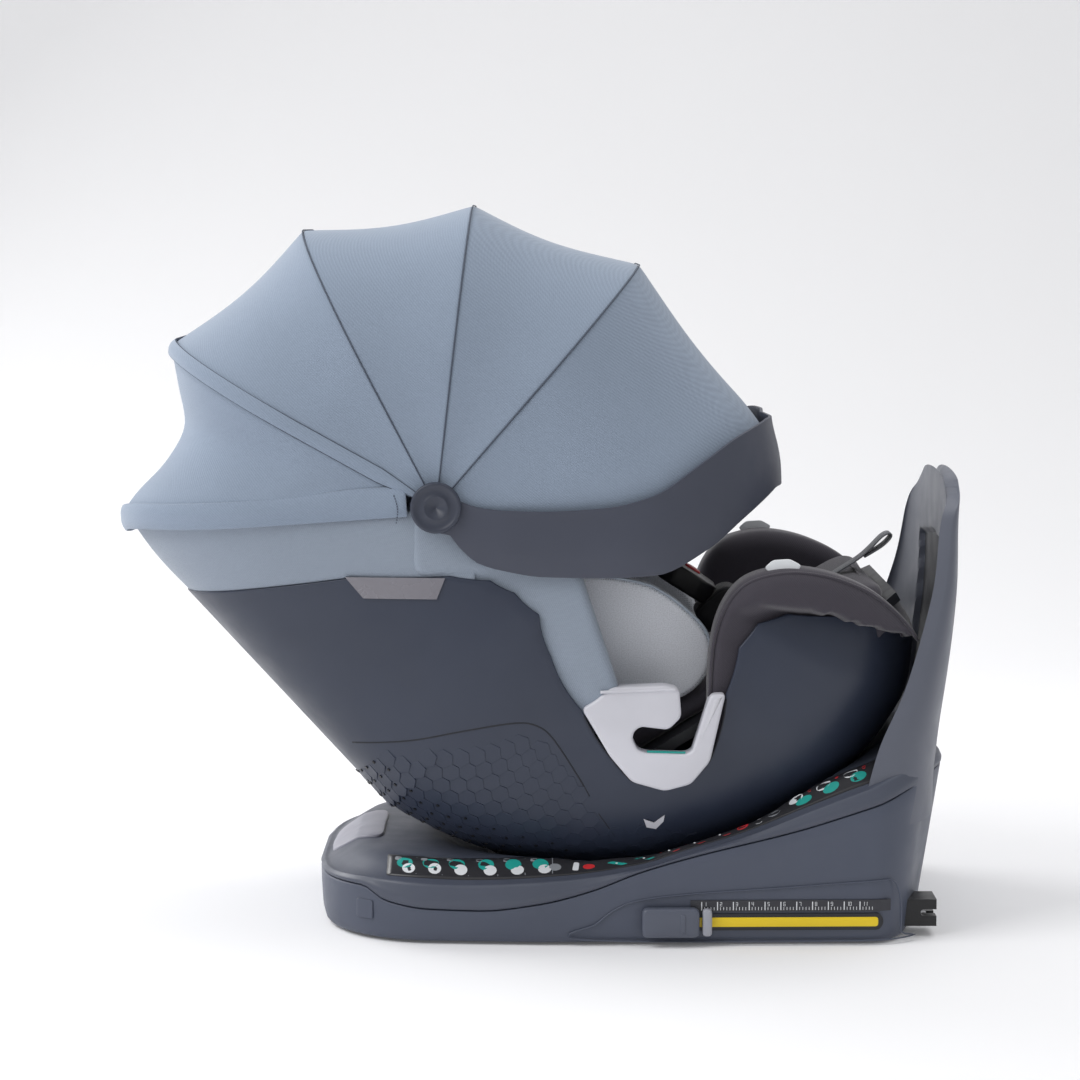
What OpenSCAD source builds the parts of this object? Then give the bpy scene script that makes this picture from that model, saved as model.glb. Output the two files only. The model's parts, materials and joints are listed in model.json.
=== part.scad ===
// Convertible child car seat: swivelling and reclining shell on an anchored base, with a folding hood.
// Millimetres. +X points to the anchor end of the base, +Y across it, +Z up.
// The origin is where the swivel axis meets the floor. The seat parts are drawn around the recline
// axis, which crosses the swivel axis pivot_z above the floor.

/* [Seat shell] */
// Radius of the shell's round underside about the recline axis
shell_r = 344; // [320:1:400]
// Distance from the recline axis to the flat back of the shell
back_r = 340; // [315:1:395]
// Width of the shell over its side walls
shell_w = 420; // [360:1:510]
// Wall thickness of the shell
shell_wall = 4; // [3:0.5:6]
// Squareness of the shell's cross-section
shell_power = 3.4; // [2.6:0.1:4.2]

/* [Seat inside] */
// Thickness of the seat bucket's panels
bucket_t = 10; // [6:1:16]
// Thickness of the cushions
cushion_t = 28; // [18:1:34]
// Width between the side bolsters
inner_w = 290; // [250:1:300]
// Width of the harness webbing
webbing_w = 38; // [25:1:45]
// Length of the headrest along the backrest
headrest_l = 165; // [130:1:175]
// How far the headrest slides up the backrest
headrest_travel = 60; // [40:1:62]

/* [Base] */
// Width of the base over its side walls
base_w = 400; // [330:1:440]
// Distance from the swivel axis to the nose of the base
nose_l = 276; // [250:1:330]
// Distance from the swivel axis to the rear end of the base
rear_l = 345; // [340:1:400]
// Height of the dish's lowest point above the floor
dish_floor = 34; // [30:1:44]
// Wall thickness of the base covers
base_wall = 4; // [3:0.5:6]
// Radius of the turntable, seen from above
turntable_r = 112; // [80:1:118]

/* [Rebound bar] */
// Height of the bar's top above the floor
bar_top = 444; // [400:1:500]
// Thickness of the bar
bar_t = 14; // [12:1:20]

/* [Anchor arms] */
// Distance between the two anchor arms' centrelines
anchor_pitch = 280; // [260:1:300]
// How far the arms slide out
anchor_travel = 165; // [100:1:170]
// Radius of the anchor bar that the hooks grip
anchor_bar_r = 3; // [2.5:0.1:4]

/* [Hood] */
// Distance of the hood's hub behind the swivel axis
hub_back = 155; // [130:1:190]
// Height of the hood's hub above the recline axis
hub_up = 33; // [25:1:50]
// Radius of the hub's pin
pin_r = 6; // [4:0.5:8]
// Radius of the bows' tubes
bow_r = 3.2; // [2.5:0.1:4]
// Radius of the bows' upper corners
bow_corner = 150; // [110:1:180]
// Length of each bow from the hub to its top: rear hem, first to fourth
bow_len = [308, 298, 287, 280, 293];
// Angle of each bow above the rearward direction
bow_angle = [-4, 29, 62.5, 96.5, 131];
// Angle of the hood's front edge, which the visor holds
visor_angle = 164; // [160:1:170]
// How far the fabric sags between two bows
panel_sag = 13; // [0:1:20]

/* [Hidden] */
$fn = 64;

gap = 0.5;          // clearance between neighbouring pieces
run = 0.05;         // radial clearance of a running fit
half_w = shell_w / 2;
side_in = half_w - shell_wall;
sides = [-1, 1];

// ---------- the shell's surface, in polar terms around the recline axis ----------
// An angle of 0 points to the head end (-X), 90 straight down and 180 to the foot end.
head_a = 8.5;
foot_a = 161.5;
back_tilt = 42.7;   // direction in which the flat back faces
// Radius of the rounded underside: [angle, radius beyond shell_r]
belly = [[0, 3], [50, 1], [60, -3], [76, -6], [120, -6], [136, -1], [150, -1], [162, -16], [180, -20]];
// Radius of the side walls' upper edge: [angle, radius]
edge = [
    [8.5, 235], [12.7, 146], [19, 111], [30, 95], [49, 90], [66, 118], [83, 160], [92, 204], [97, 230],
    [104, 244], [110, 245], [116, 232], [129, 185], [142, 163], [152, 166], [158, 188], [161.5, 235]
];
// Share of the full width along the shell: [angle, share]
taper = [[0, 0.97], [40, 1], [125, 1], [150, 0.95], [165, 0.86], [180, 0.8]];

function polar(a, r) = [-r * cos(a), -r * sin(a)];
function back_radius(a) = abs(a - back_tilt) < 50 ? back_r / cos(a - back_tilt) : 2 * back_r;
function outer_r(a) =
    a < back_tilt ? back_radius(a) : min(back_radius(a), shell_r + lookup(a, belly));
function width_share(a) = lookup(a, taper);
// Point of the cross-section: t runs from 0 at the -Y side through 90 at the bottom to 180 at the +Y side
function round_pow(v) = sign(v) * pow(abs(v), 2 / shell_power);
function shell_point(a, t, inset) =
    let (r = (outer_r(a) - inset) * round_pow(sin(t)),
         y = -(half_w * width_share(a) - inset) * round_pow(cos(t)),
         p = polar(a, r))
    [p[0], y, p[1]];
function edge_t(a, inset) =
    asin(min(1, pow(lookup(a, edge) / (outer_r(a) - inset), shell_power / 2)));
// Furthest that the shell's underside reaches from the centre of the dish
shell_reach = max([for (a = [50:5:150], t = [30:5:90]) norm(shell_point(a, t, 0))]);
dish_r = shell_reach + 2.5;
pivot_z = dish_r + dish_floor;

module at_pivot() { translate([0, 0, pivot_z]) children(); }
// Extrudes an X-Z outline from y0 to y1
module xz(y0, y1) {
    translate([0, y1, 0]) rotate([90, 0, 0]) linear_extrude(y1 - y0) children();
}
// The same on both sides of the middle
module both_sides(y0, y1) {
    xz(y0, y1) children();
    xz(-y1, -y0) children();
}
// One side only: -1 is the left (-Y) and 1 the right (+Y)
module on_side(s, y0, y1) {
    xz(s < 0 ? -y1 : y0, s < 0 ? -y0 : y1) children();
}

// ---------- rows of points joined into closed solids ----------
function quad(a, b, c, d) = [[a, b, c], [a, c, d]];
function flat_list(l) = [for (x = l) for (y = x) y];
function turned(l) = [for (i = [len(l) - 1:-1:0]) l[i]];
// Closed solid through rings of points, each ring going round once
module skin(rings) {
    n = len(rings[0]);
    m = len(rings);
    walls = flat_list([for (i = [0:m - 2], j = [0:n - 1])
        quad(i * n + j, i * n + (j + 1) % n, (i + 1) * n + (j + 1) % n, (i + 1) * n + j)]);
    caps = [[for (j = [n - 1:-1:0]) j], [for (j = [0:n - 1]) (m - 1) * n + j]];
    polyhedron(flat_list(rings), concat(walls, caps), convexity = 6);
}

// ---------- seat shell ----------
function shell_ring(a, steps) =
    let (to = edge_t(a, 0), ti = edge_t(a, shell_wall))
    concat(
        [for (k = [0:steps]) shell_point(a, to + (180 - 2 * to) * k / steps, 0)],
        [for (k = [steps:-1:0]) shell_point(a, ti + (180 - 2 * ti) * k / steps, shell_wall)]
    );
// The rings stand at the edge's own angles and evenly between them
ring_angles = concat(flat_list([for (i = [0:len(edge) - 2])
    let (a = edge[i][0], b = edge[i + 1][0], rise = abs(edge[i + 1][1] - edge[i][1]),
         n = ceil(max((b - a) / 4.6, rise / 30)))
    [for (k = [0:n - 1]) a + (b - a) * k / n]]), [foot_a]);
// Joins freely curved pieces into one faceted solid
module facet() { resize([0, 0, 0]) children(); }
// Closed volume inside the shell, drawn coarsely so that its flats stay inside the wall
module cavity(inset, y_steps = 14) {
    m = shell_wall + inset;
    skin([for (a = [176:-11.5:-8])
        concat([for (k = [0:y_steps]) shell_point(a, 180 * k / y_steps, m)],
               [[0, side_in - inset, 0.2], [0, -side_in + inset, 0.2]])]);
}
channel_w = 190;    // slot in the underside that the rails run in
rail_a = 14;        // half the rails' length, as an angle
recline_a = 12;     // recline each way
module seat_shell() color([0.27, 0.29, 0.34]) at_pivot() facet() difference() {
    skin([for (a = turned(ring_angles)) shell_ring(a, 22)]);
    xz(-channel_w / 2, channel_w / 2)
        polygon(concat([for (a = [-1, 1]) polar(90 + a * (rail_a + recline_a + 2), 0.8 * back_r)],
                       [for (a = [1, -1]) polar(90 + a * (rail_a + recline_a + 2), 1.2 * shell_r)]));
}

// ---------- seat bucket and cushions ----------
hip = [-10, -238];
back_dir = 151.2;   // direction of the backrest from the hip
seat_dir = 31.5;      // direction of the seat from the hip
head_s0 = 236;      // where the headrest starts, from the hip
back_l = head_s0 + headrest_l + headrest_travel - 36;
seat_l = 345;
bucket_w = 340;
// Rectangle beside the backrest: s along it from the hip, n from its face into the seat
module back_slab(s0, s1, n0, n1) {
    translate(hip) rotate(back_dir) translate([s0, -n1]) square([s1 - s0, n1 - n0]);
}
module seat_slab(s0, s1, n0, n1) {
    translate(hip) rotate(seat_dir) translate([s0, n0]) square([s1 - s0, n1 - n0]);
}
lever_w = 90;
lever_pin = [239, -bucket_t - 10.5];
lever_pin_r = 3;
module lever_axle(r, l) {
    translate([hip[0], 0, hip[1]]) rotate([0, -seat_dir, 0]) translate([lever_pin[0], 0, lever_pin[1]])
        rotate([90, 0, 0]) cylinder(r = r, h = l, center = true);
}
module seat_bucket() color([0.2, 0.2, 0.22]) at_pivot() {
    intersection() {
        xz(-bucket_w / 2, bucket_w / 2) union() {
            back_slab(0, back_l, -bucket_t, 0);
            seat_slab(0, seat_l, -bucket_t, 0);
            translate(hip) circle(bucket_t - 0.1);
        }
        cavity(1);
    }
    both_sides(lever_w / 2 + 1, lever_w / 2 + 6)
        seat_slab(lever_pin[0] - 6, lever_pin[0] + 6, lever_pin[1] - 5, -bucket_t + 0.5);
    lever_axle(lever_pin_r, lever_w + 8);
}
button_w = 32;      // width of the harness button
corner_s = 20;      // room left between the cushions at the hip
module backrest_cushion() color([0.62, 0.65, 0.69]) at_pivot() intersection() {
    xz(-inner_w / 2 + gap, inner_w / 2 - gap) back_slab(corner_s, back_l - 8, gap, cushion_t);
    cavity(1);
}
module seat_cushion() color([0.3, 0.29, 0.31]) at_pivot() intersection() {
    xz(-inner_w / 2 + gap, inner_w / 2 - gap) seat_slab(corner_s, seat_l - 2, gap, cushion_t);
    cavity(1);
    // pocket of the harness button
    difference() {
        translate([-500, -500, -500]) cube(1000);
        xz(-button_w / 2 - 1, button_w / 2 + 1) seat_slab(221, 251, cushion_t - 8, cushion_t + 20);
    }
}

// ---------- upholstered sides ----------
// Everything outside the side walls' upper edge
module past_edge(clear) {
    polygon(concat([for (a = [-20:4:8]) polar(a, lookup(8.5, edge) - clear)],
                   [for (e = edge) polar(e[0], e[1] - clear)],
                   [for (a = [162:3:180]) polar(a, lookup(161.5, edge) - clear)],
                   [polar(180, 600), polar(135, 800), polar(90, 800), polar(45, 800), polar(-20, 600)]));
}
wing_line = [
    [-405, -42], [-415, 22], [-190, 62], [-90, 30], [-14, -50], [16, -140], [10, -168], [-30, -203]
];
bolster_line = [
    [100, -140], [103, -93], [116, -60], [138, -37], [171, -27], [224, -35], [272, -62], [303, -96],
    [282, -124], [100, -193]
];
trim_in = 24;       // how deep the belt guides reach in from the shell's side
bracket_t = 3.8;
foot_reach = outer_r(foot_a);   // from the recline axis to the foot end of the shell
// Side cushion of an X-Z outline: thick inside the shell, and out to the side above the shell's edge
module side_cushion(s, inner_y, lip_y) {
    facet() intersection() {
        union() {
            intersection() {
                on_side(s, inner_y, half_w - trim_in - 1) children();
                cavity(1);
            }
            on_side(s, half_w - trim_in - 2, lip_y) difference() {
                children();
                past_edge(3);
                guide_outline(2);
            }
        }
        sphere(r = foot_reach + 1, $fn = 96);
    }
}
wing_y = half_w - 19.5;
module wing_cover(s) color([0.62, 0.66, 0.7]) at_pivot()
    side_cushion(s, inner_w / 2 + gap, wing_y) difference() {
        polygon(wing_line);
        back_slab(-30, back_l + 40, -60, gap);
    }
module wing_covers() for (s = sides) wing_cover(s);
module thigh_bolster(s) color([0.3, 0.29, 0.31]) at_pivot()
    side_cushion(s, inner_w / 2 + gap, half_w - 5) difference() {
        polygon(bolster_line);
        seat_slab(-30, seat_l + 30, -60, gap);
    }
module thigh_bolsters() for (s = sides) thigh_bolster(s);

// ---------- belt guides ----------
// The light U-shaped guides that fill the notch in each side wall
guide_inner = [
    [101, -143], [84, -197], [78, -200], [41, -199], [33, -196], [28, -185], [30, -178],
    [36, -174], [62, -177], [74, -165], [72, -138], [58, -135], [8, -137], [-8, -150]
];
function guide_points() =
    concat([for (e = edge) if (e[0] >= 83 && e[0] <= 129) polar(e[0], e[1] - 1.2)], guide_inner);
module guide_outline(grow = 0) {
    offset(delta = grow) polygon(guide_points());
}
module belt_guide(s) color([0.83, 0.83, 0.86]) at_pivot()
    on_side(s, half_w - trim_in, half_w - 2) polygon(guide_points());
module belt_guides() for (s = sides) belt_guide(s);
module belt_lines() color([0.1, 0.62, 0.6]) at_pivot()
    both_sides(half_w - 9, half_w - 5) polygon([[42, -198.8], [78, -199.8], [78, -198.3], [42, -197.3]]);

// ---------- shell trims ----------
plate_t = 1.5;
// Distance of the shell's side from the middle, at a point of the side view
function side_y(p, inset) =
    let (a = atan2(-p[1], -p[0]), w = half_w * width_share(a) - inset)
    w * pow(1 - pow(norm(p) / (outer_r(a) - inset), shell_power), 1 / shell_power);
// Thin strip lying on the shell's side; each row is its upper and lower point in the side view
module side_strip(rows, t) {
    for (s = sides) skin([for (q = s < 0 ? rows : turned(rows)) [
        [q[0][0], s * side_y(q[0], -0.2), q[0][1]], [q[1][0], s * side_y(q[1], -0.2), q[1][1]],
        [q[1][0], s * side_y(q[1], -0.2 - t), q[1][1]], [q[0][0], s * side_y(q[0], -0.2 - t), q[0][1]]]]);
}
module side_plates() color([0.42, 0.41, 0.44]) at_pivot()
    side_strip([for (u = [0:0.125:1]) [[-241 + 94 * u, -34], [-224 + 69 * u, -54]]], plate_t);
module recline_pointers() color([0.72, 0.73, 0.76]) at_pivot()
    side_strip([[[40, -268], [43, -277]], [[50, -272], [52, -279]], [[60, -264], [59, -271]]], plate_t);

// ---------- infant insert ----------
insert_t = 12;
insert_line = [
    [-150, -72], [-12, -38], [38, -45], [76, -66], [102, -92], [98, -120], [70, -152], [0, -178], [-60, -170]
];
module insert_wing() {
    difference() {
        polygon(insert_line);
        back_slab(0, 400, -60, cushion_t + gap);
    }
}
module infant_insert() color([0.66, 0.68, 0.71]) at_pivot() {
    both_sides(inner_w / 2 - 30, inner_w / 2 - gap) insert_wing();
    xz(-inner_w / 2 + 32, inner_w / 2 - 32) {
        back_slab(corner_s + 22, 215, cushion_t + gap, cushion_t + insert_t);
        seat_slab(corner_s + 22, 120, cushion_t + gap, cushion_t + insert_t);
    }
}

// ---------- harness ----------
strap_t = 2;
strap_y = 42;       // half the distance between the straps' inner edges
lie_n = cushion_t + insert_t + gap;
module shoulder_straps() color([0.12, 0.12, 0.13]) at_pivot() {
    for (s = sides) on_side(s, strap_y - webbing_w / 2 + 10, strap_y + webbing_w / 2 + 10)
        back_slab(120, 232, lie_n, lie_n + strap_t);
}
module shoulder_pads() color([0.55, 0.58, 0.62]) at_pivot() {
    for (s = sides) on_side(s, strap_y - webbing_w / 2 + 4, strap_y + webbing_w / 2 + 16)
        back_slab(130, 226, lie_n + strap_t + gap, lie_n + strap_t + 12);
}
// The buckle stands on the crotch pad, leaning back towards the child
buckle_at = [112, -74];
buckle_dir = 148;   // direction in which the buckle points
buckle_l = 58;
buckle_w = 62;
module buckle_block(u0, u1, v0, v1) {
    translate(buckle_at) rotate(buckle_dir) translate([u0, v0]) square([u1 - u0, v1 - v0]);
}
module crotch_pad() color([0.1, 0.1, 0.11]) at_pivot() xz(-27, 27) difference() {
    polygon([[96, -92], [118, -72], [134, -66], [150, -110], [152, -146], [136, -152], [120, -120]]);
    buckle_block(-gap, 99, -60, 60);
    seat_slab(0, 300, -20, cushion_t + gap);
}
button_r = 11;
button_travel = 4;
module buckle_body() color([0.09, 0.09, 0.1]) at_pivot() difference() {
    xz(-buckle_w / 2, buckle_w / 2) buckle_block(0, buckle_l, -11, 11);
    // pocket of the release button, on the face away from the seat
    translate([buckle_at[0], 0, buckle_at[1]]) rotate([0, -buckle_dir, 0])
        translate([buckle_l / 2, 0, -11.1]) cylinder(r = button_r + 0.3, h = 9);
    for (s = sides) on_side(s, 6, 24) buckle_block(buckle_l - 20, buckle_l + 1, -2.2, 2.2);
}
module buckle_button() color([0.75, 0.06, 0.08]) at_pivot()
    translate([buckle_at[0], 0, buckle_at[1]]) rotate([0, -buckle_dir, 0])
        translate([buckle_l / 2, 0, -12.5]) cylinder(r = button_r, h = 10.5 - button_travel);
module buckle_tongues() color([0.5, 0.51, 0.53]) at_pivot()
    for (s = sides) on_side(s, 7, 23) buckle_block(buckle_l - 18, buckle_l + 20, -1.5, 1.5);

// ---------- seat front: strap, button and lever ----------
module adjuster_strap() color([0.4, 0.4, 0.42]) at_pivot() xz(-12.5, 12.5) difference() {
    union() {
        seat_slab(seat_l - 46, seat_l, cushion_t + gap, cushion_t + gap + strap_t);
        loop_at() circle(14, $fn = 40);
    }
    loop_at() circle(11.5, $fn = 40);
}
module loop_at() {
    translate(hip) rotate(seat_dir) translate([seat_l + 12.5, cushion_t + gap + 1]) rotate(-8)
        scale([1, 0.42]) children();
}
module adjuster_button() color([0.32, 0.32, 0.34]) at_pivot()
    xz(-button_w / 2, button_w / 2) seat_slab(222, 250, cushion_t - 4, cushion_t + 5);
module recline_lever() color([0.72, 0.73, 0.76]) at_pivot() difference() {
    xz(-lever_w / 2, lever_w / 2) union() {
        seat_slab(232, 300, lever_pin[1] - 3.5, lever_pin[1] + 3.5);
        seat_slab(232, 246, lever_pin[1] - 7, lever_pin[1] + 7);
    }
    lever_axle(lever_pin_r + run, lever_w + 2);
}

// ---------- headrest ----------
head_n = cushion_t + 4;
head_w = 250;
head_in = head_w / 2 - 6 - gap;
module head_slab(s0, s1, n0, n1) { back_slab(head_s0 + s0, head_s0 + s1, n0, n1); }
module headrest_shell() color([0.2, 0.2, 0.22]) at_pivot() intersection() {
    union() {
        xz(-head_w / 2, head_w / 2) head_slab(4, headrest_l - 5, head_n, head_n + 6);
        both_sides(head_w / 2 - 6, head_w / 2) head_slab(4, headrest_l - 5, head_n, head_n + 84);
    }
    cavity(1.5);
}
module headrest_cushion() color([0.62, 0.66, 0.7]) at_pivot() intersection() {
    union() {
        xz(-head_in, head_in) head_slab(0, headrest_l, head_n + 6 + gap, head_n + 32);
        both_sides(head_in - 30 + gap, head_in)
            head_slab(10, headrest_l - 12, head_n + 30, head_n + 86);
    }
    cavity(1.5);
}
module headrest_lever() color([0.72, 0.73, 0.76]) at_pivot()
    xz(-30, 30) head_slab(headrest_l + 1, headrest_l + 12, head_n + 8, head_n + 20);

// ---------- hood ----------
hub = [-hub_back, hub_up];
plate_y = half_w - 9;   // |y| where the stack of tabs begins
bracket_y = half_w - 18.5;
layer = 1.4;            // pitch of the tabs in the stack
tab_t = 1.2;
tab_r = 17;
tab_l = 66;
bow_y = half_w - 3.4;
module at_hub() { at_pivot() translate([hub[0], 0, hub[1]]) children(); }
// Cylinder across the seat, on the hub's axis, at |y| from y0 to y1 on side s
module cross(s, r, y0, y1) {
    translate([0, s < 0 ? -y0 : y1, 0]) rotate([90, 0, 0]) cylinder(r = r, h = y1 - y0);
}
module hood_brackets() color([0.2, 0.2, 0.22]) at_hub() for (s = sides) {
    on_side(s, bracket_y, bracket_y + bracket_t) hull() {
        circle(20);
        translate([8, -70]) square([28, 40], center = true);
    }
    cross(s, pin_r, bracket_y + 1, half_w + 8.6);
}
// A bow: tabs on the hub, straight legs, round corners and a straight top
module bow(i) {
    l = bow_len[i];
    y0 = plate_y + i * layer + 0.2;
    at_hub() rotate([0, bow_angle[i], 0]) {
        for (s = sides) {
            difference() {
                on_side(s, y0, y0 + tab_t) hull() {
                    circle(tab_r);
                    translate([-tab_l, 0]) circle(2.6);
                }
                cross(s, pin_r + run, y0 - 1, y0 + tab_t + 1);
            }
            translate([-tab_l + 2, s * bow_y, 0]) rotate([0, -90, 0])
                cylinder(r = bow_r, h = l - bow_corner - tab_l + 2);
            translate([-(l - bow_corner), s * (bow_y - bow_corner), 0]) rotate([0, 0, s < 0 ? 180 : 90])
                rotate_extrude(angle = 90) translate([bow_corner, 0]) circle(bow_r);
        }
        translate([-l, 0, 0]) rotate([90, 0, 0])
            cylinder(r = bow_r, h = 2 * (bow_y - bow_corner), center = true);
    }
}
module bow_1() color([0.3, 0.32, 0.36]) bow(1);
module bow_2() color([0.3, 0.32, 0.36]) bow(2);
module bow_3() color([0.3, 0.32, 0.36]) bow(3);
module bow_4() color([0.3, 0.32, 0.36]) bow(4);
// Flat band round the head end: the hood's rear hem
hem_h = 28;
module hem_plan(grow) {
    l = bow_len[0];
    hull() {
        for (s = sides)
            translate([-(l - bow_corner), s * (bow_y - 2 - bow_corner)]) circle(bow_corner + grow);
        translate([-tab_l, -(bow_y - 2) - grow]) square([4, 2 * (bow_y - 2 + grow)]);
    }
}
module rear_bow() color([0.62, 0.67, 0.73]) at_hub() rotate([0, bow_angle[0], 0]) {
    translate([0, 0, -hem_h / 2]) linear_extrude(hem_h) difference() {
        hem_plan(1.5);
        hem_plan(-2.5);
        translate([-tab_l, -shell_w]) square([shell_w, 2 * shell_w]);
    }
    for (s = sides) difference() {
        on_side(s, plate_y + 0.1, plate_y + 0.1 + tab_t) hull() {
            circle(tab_r);
            translate([-tab_l - 1, 0]) square([2, 24], center = true);
        }
        cross(s, pin_r + run, plate_y - 1, plate_y + 3);
    }
}

// Hood surface: v from 0 at the -Y hub side round to 1 at the +Y side, on a bow of length l
hood_s0 = 40;
function hood_arc(l, c, y) = [l - c - hood_s0, PI / 2 * c, 2 * (y - c)];
function hood_point(l, v, off) =
    let (c = bow_corner + off, y = bow_y + off, ll = l + off, p = hood_arc(ll, c, y),
         total = 2 * p[0] + 2 * p[1] + p[2], d = (v <= 0.5 ? v : 1 - v) * total,
         s = v <= 0.5 ? -1 : 1, k = (d - p[0]) / p[1] * 90)
    d <= p[0] ? [hood_s0 + d, s * y] :
    k <= 90 ? [ll - c + c * sin(k), s * (y - c + c * cos(k))] :
    [ll, s * (y - c - (d - p[0] - p[1]))];
// Distance of a straight chord between two bows, less its sag
function chord_len(a0, l0, a1, l1, t) =
    let (a = a0 + (a1 - a0) * t, w = sin(a1 - a0))
    w * l0 * l1 / (l0 * sin(a - a0) + l1 * sin(a1 - a)) - panel_sag * sin(180 * t);
// Angle of the front edge where it meets the visor, at a given reach from the hub
function front_angle(r) = 179.4 - atan(visor_z(r, 1) / r);
seam_a = 0.8;       // angle left free at each bow
function panel_point(a0, a1, t, p, at_visor) =
    let (top = at_visor ? front_angle(p[0]) : a1, a = a0 + seam_a + (top - a0 - 2 * seam_a) * t)
    [-p[0] * cos(a), p[1], p[0] * sin(a)];
module panel(a0, l0, a1, l1, at_visor = false) {
    fabric = 0.9;
    lie = bow_r + 0.6;      // the fabric lies just outside the bows
    na = 5;
    nv = 24;
    at_hub() facet() skin([for (i = [0:na])
        let (t = i / na, l = chord_len(a0, l0, a1, l1, t))
        concat([for (j = [0:nv]) panel_point(a0, a1, t, hood_point(l, j / nv, lie + fabric), at_visor)],
               [for (j = [nv:-1:0]) panel_point(a0, a1, t, hood_point(l, j / nv, lie), at_visor)])]);
}
visor_len = 322;
cloth_color = [0.6, 0.66, 0.73];
// The fabric between bow i and the next
module span(i) { panel(bow_angle[i], bow_len[i], bow_angle[i + 1], bow_len[i + 1]); }
module hood_panel_1() color(cloth_color) panel(bow_angle[0] + 4, bow_len[0] - 2, bow_angle[1], bow_len[1]);
module hood_panel_2() color(cloth_color) span(1);
module hood_panel_3() color(cloth_color) span(2);
module hood_panel_4() color(cloth_color) span(3);
module hood_panel_5() color(cloth_color)
    panel(bow_angle[4], bow_len[4], visor_angle, visor_len - 8, true);

// Stiff visor: a curved band from hub to hub. Each row is [reach from the hub, upper z, lower z]
visor_line = [
    [14, 9, -30], [38, 0, -52], [60, -3, -59], [97, -4, -65], [152, -1, -66], [199, 10, -64], [247, 40, -42],
    [282, 62, -15], [316, 76, 10]
];
visor_t = 3;
visor_front_r = 165;    // plan radius of the visor's front corners
visor_y = half_w + 4.5;
function visor_z(x, k) = lookup(x, [for (p = visor_line) [p[0], p[k]]]);
// Plan of the band: d runs along it from the -Y hub
function visor_plan(d, grow) =
    let (front = visor_line[len(visor_line) - 1][0] + 20, c = visor_front_r, y = visor_y,
         leg = front - c - 10, corner = PI / 2 * c, s = d[0],
         q = d[1], k = (q - leg) / corner * 90)
    q <= leg ? [10 + q, s * (y + grow)] :
    k <= 90 ? [10 + leg + (c + grow) * sin(k), s * (y - c + (c + grow) * cos(k))] :
    [10 + leg + c + grow, s * (y - c - (q - leg - corner))];
visor_half = visor_line[len(visor_line) - 1][0] + 20 - visor_front_r - 10 + PI / 2 * visor_front_r
    + visor_y - visor_front_r;
visor_n = 16;
function visor_row(s, q) =
    let (c = visor_plan([s, q], 0), x = c[0] - 14 * q / visor_half, zu = visor_z(x, 1), zl = visor_z(x, 2),
         top = visor_plan([s, q], 0), mid = visor_plan([s, q], min(1.2, 0.02 * q)), low = top,
         lean = 18 * pow(q / visor_half, 2), tuck = 4 * pow(q / visor_half, 2))
    [[top[0] - lean, top[1], zu], [mid[0], mid[1], zl + 0.3 * (zu - zl)],
     [low[0] - tuck, low[1] - s * 1.4, zl],
     let (p = visor_plan([s, q], -visor_t)) [p[0] - tuck, p[1] + s * 0.4, zl],
     let (p = visor_plan([s, q], -visor_t)) [p[0] - lean, p[1], zu]];
module visor() color([0.29, 0.31, 0.36]) at_hub() {
    skin(concat(
        [for (i = [0:visor_n]) visor_row(1, visor_half * i / visor_n)],
        [for (i = [visor_n - 1:-1:0]) visor_row(-1, visor_half * i / visor_n)]));
    for (s = sides) difference() {
        cross(s, 22, half_w + 1, half_w + 4.4);
        cross(s, pin_r + run, half_w, half_w + 9);
    }
}
module hub_caps() color([0.25, 0.27, 0.32]) at_hub() for (s = sides) difference() {
    cross(s, 24, half_w + 5, half_w + 13);
    cross(s, 17, half_w + 11.5, half_w + 14);
    cross(s, pin_r + 0.02, half_w + 4, half_w + 9);
}

// ---------- base ----------
hb = base_w / 2;
// Plan outline of the base, inset by m
module base_plan(m) {
    offset(delta = -m) hull() {
        for (s = sides) {
            translate([-nose_l + 120, s * (hb - 122)]) circle(116);
            translate([-nose_l + 84, s * 50]) circle(84);
            translate([-60, s * (hb - 60)]) circle(60);
            translate([rear_l - 95, s * (hb - 75)]) circle(70);
            translate([rear_l - 110, s * 60]) circle(110);
        }
    }
}
// Height of the joint between tray and cover, and of the cover's rim: [x, height]
split_line = [
    [-300, 50], [-230, 52], [-206, 40], [-163, 34], [-115, 33], [-58, 40], [-11, 52], [36, 70], [83, 84],
    [187, 110], [263, 134], [326, 154], [420, 160]
];
rim_line = [
    [-300, 50], [-268, 58], [-218, 61], [-135, 58], [-40, 63], [36, 74], [83, 88.5], [131, 103], [200, 130],
    [245, 147], [300, 165], [420, 170]
];
module under(line, drop) {
    polygon(concat([for (p = line) [p[0], p[1] - drop]], [[420, -10], [-300, -10]]));
}
slot_z = [15, 31];
knob_x = [38, 104];
slot_x = [knob_x[0] + 24, knob_x[0] + 59 + anchor_travel];
recess_d = 4;
module tray_body(m) {
    intersection() {
        linear_extrude(300) base_plan(m);
        xz(-hb, hb) under(split_line, gap / 2);
    }
}
arm_z = 23;
arm_h = 16;
arm_w = 24;
module base_tray() color([0.31, 0.33, 0.38]) difference() {
    tray_body(0);
    translate([0, 0, base_wall]) tray_body(base_wall);
    // shallow recess and slot of the slider, on both sides
    recess(recess_d / 2, -10);
    both_sides(hb - 16, hb + 10) translate([slot_x[0], slot_z[0]])
        square([slot_x[1] - slot_x[0], slot_z[1] - slot_z[0]]);
    // openings in the rear wall for the anchor arms
    for (s = sides) translate([rear_l - 80, s * anchor_pitch / 2 - 21, arm_z - 16.5]) cube([120, 42, 33]);
    // square plug holes and foot pockets
    both_sides(hb - 60, hb + 10) translate([-224, 24]) square([18, 18]);
    feet() cylinder(r = foot_r + 0.2, h = 2 * foot_sink, center = true);
    screws() cylinder(r = 2.4, h = 20, center = true);
}
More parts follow.
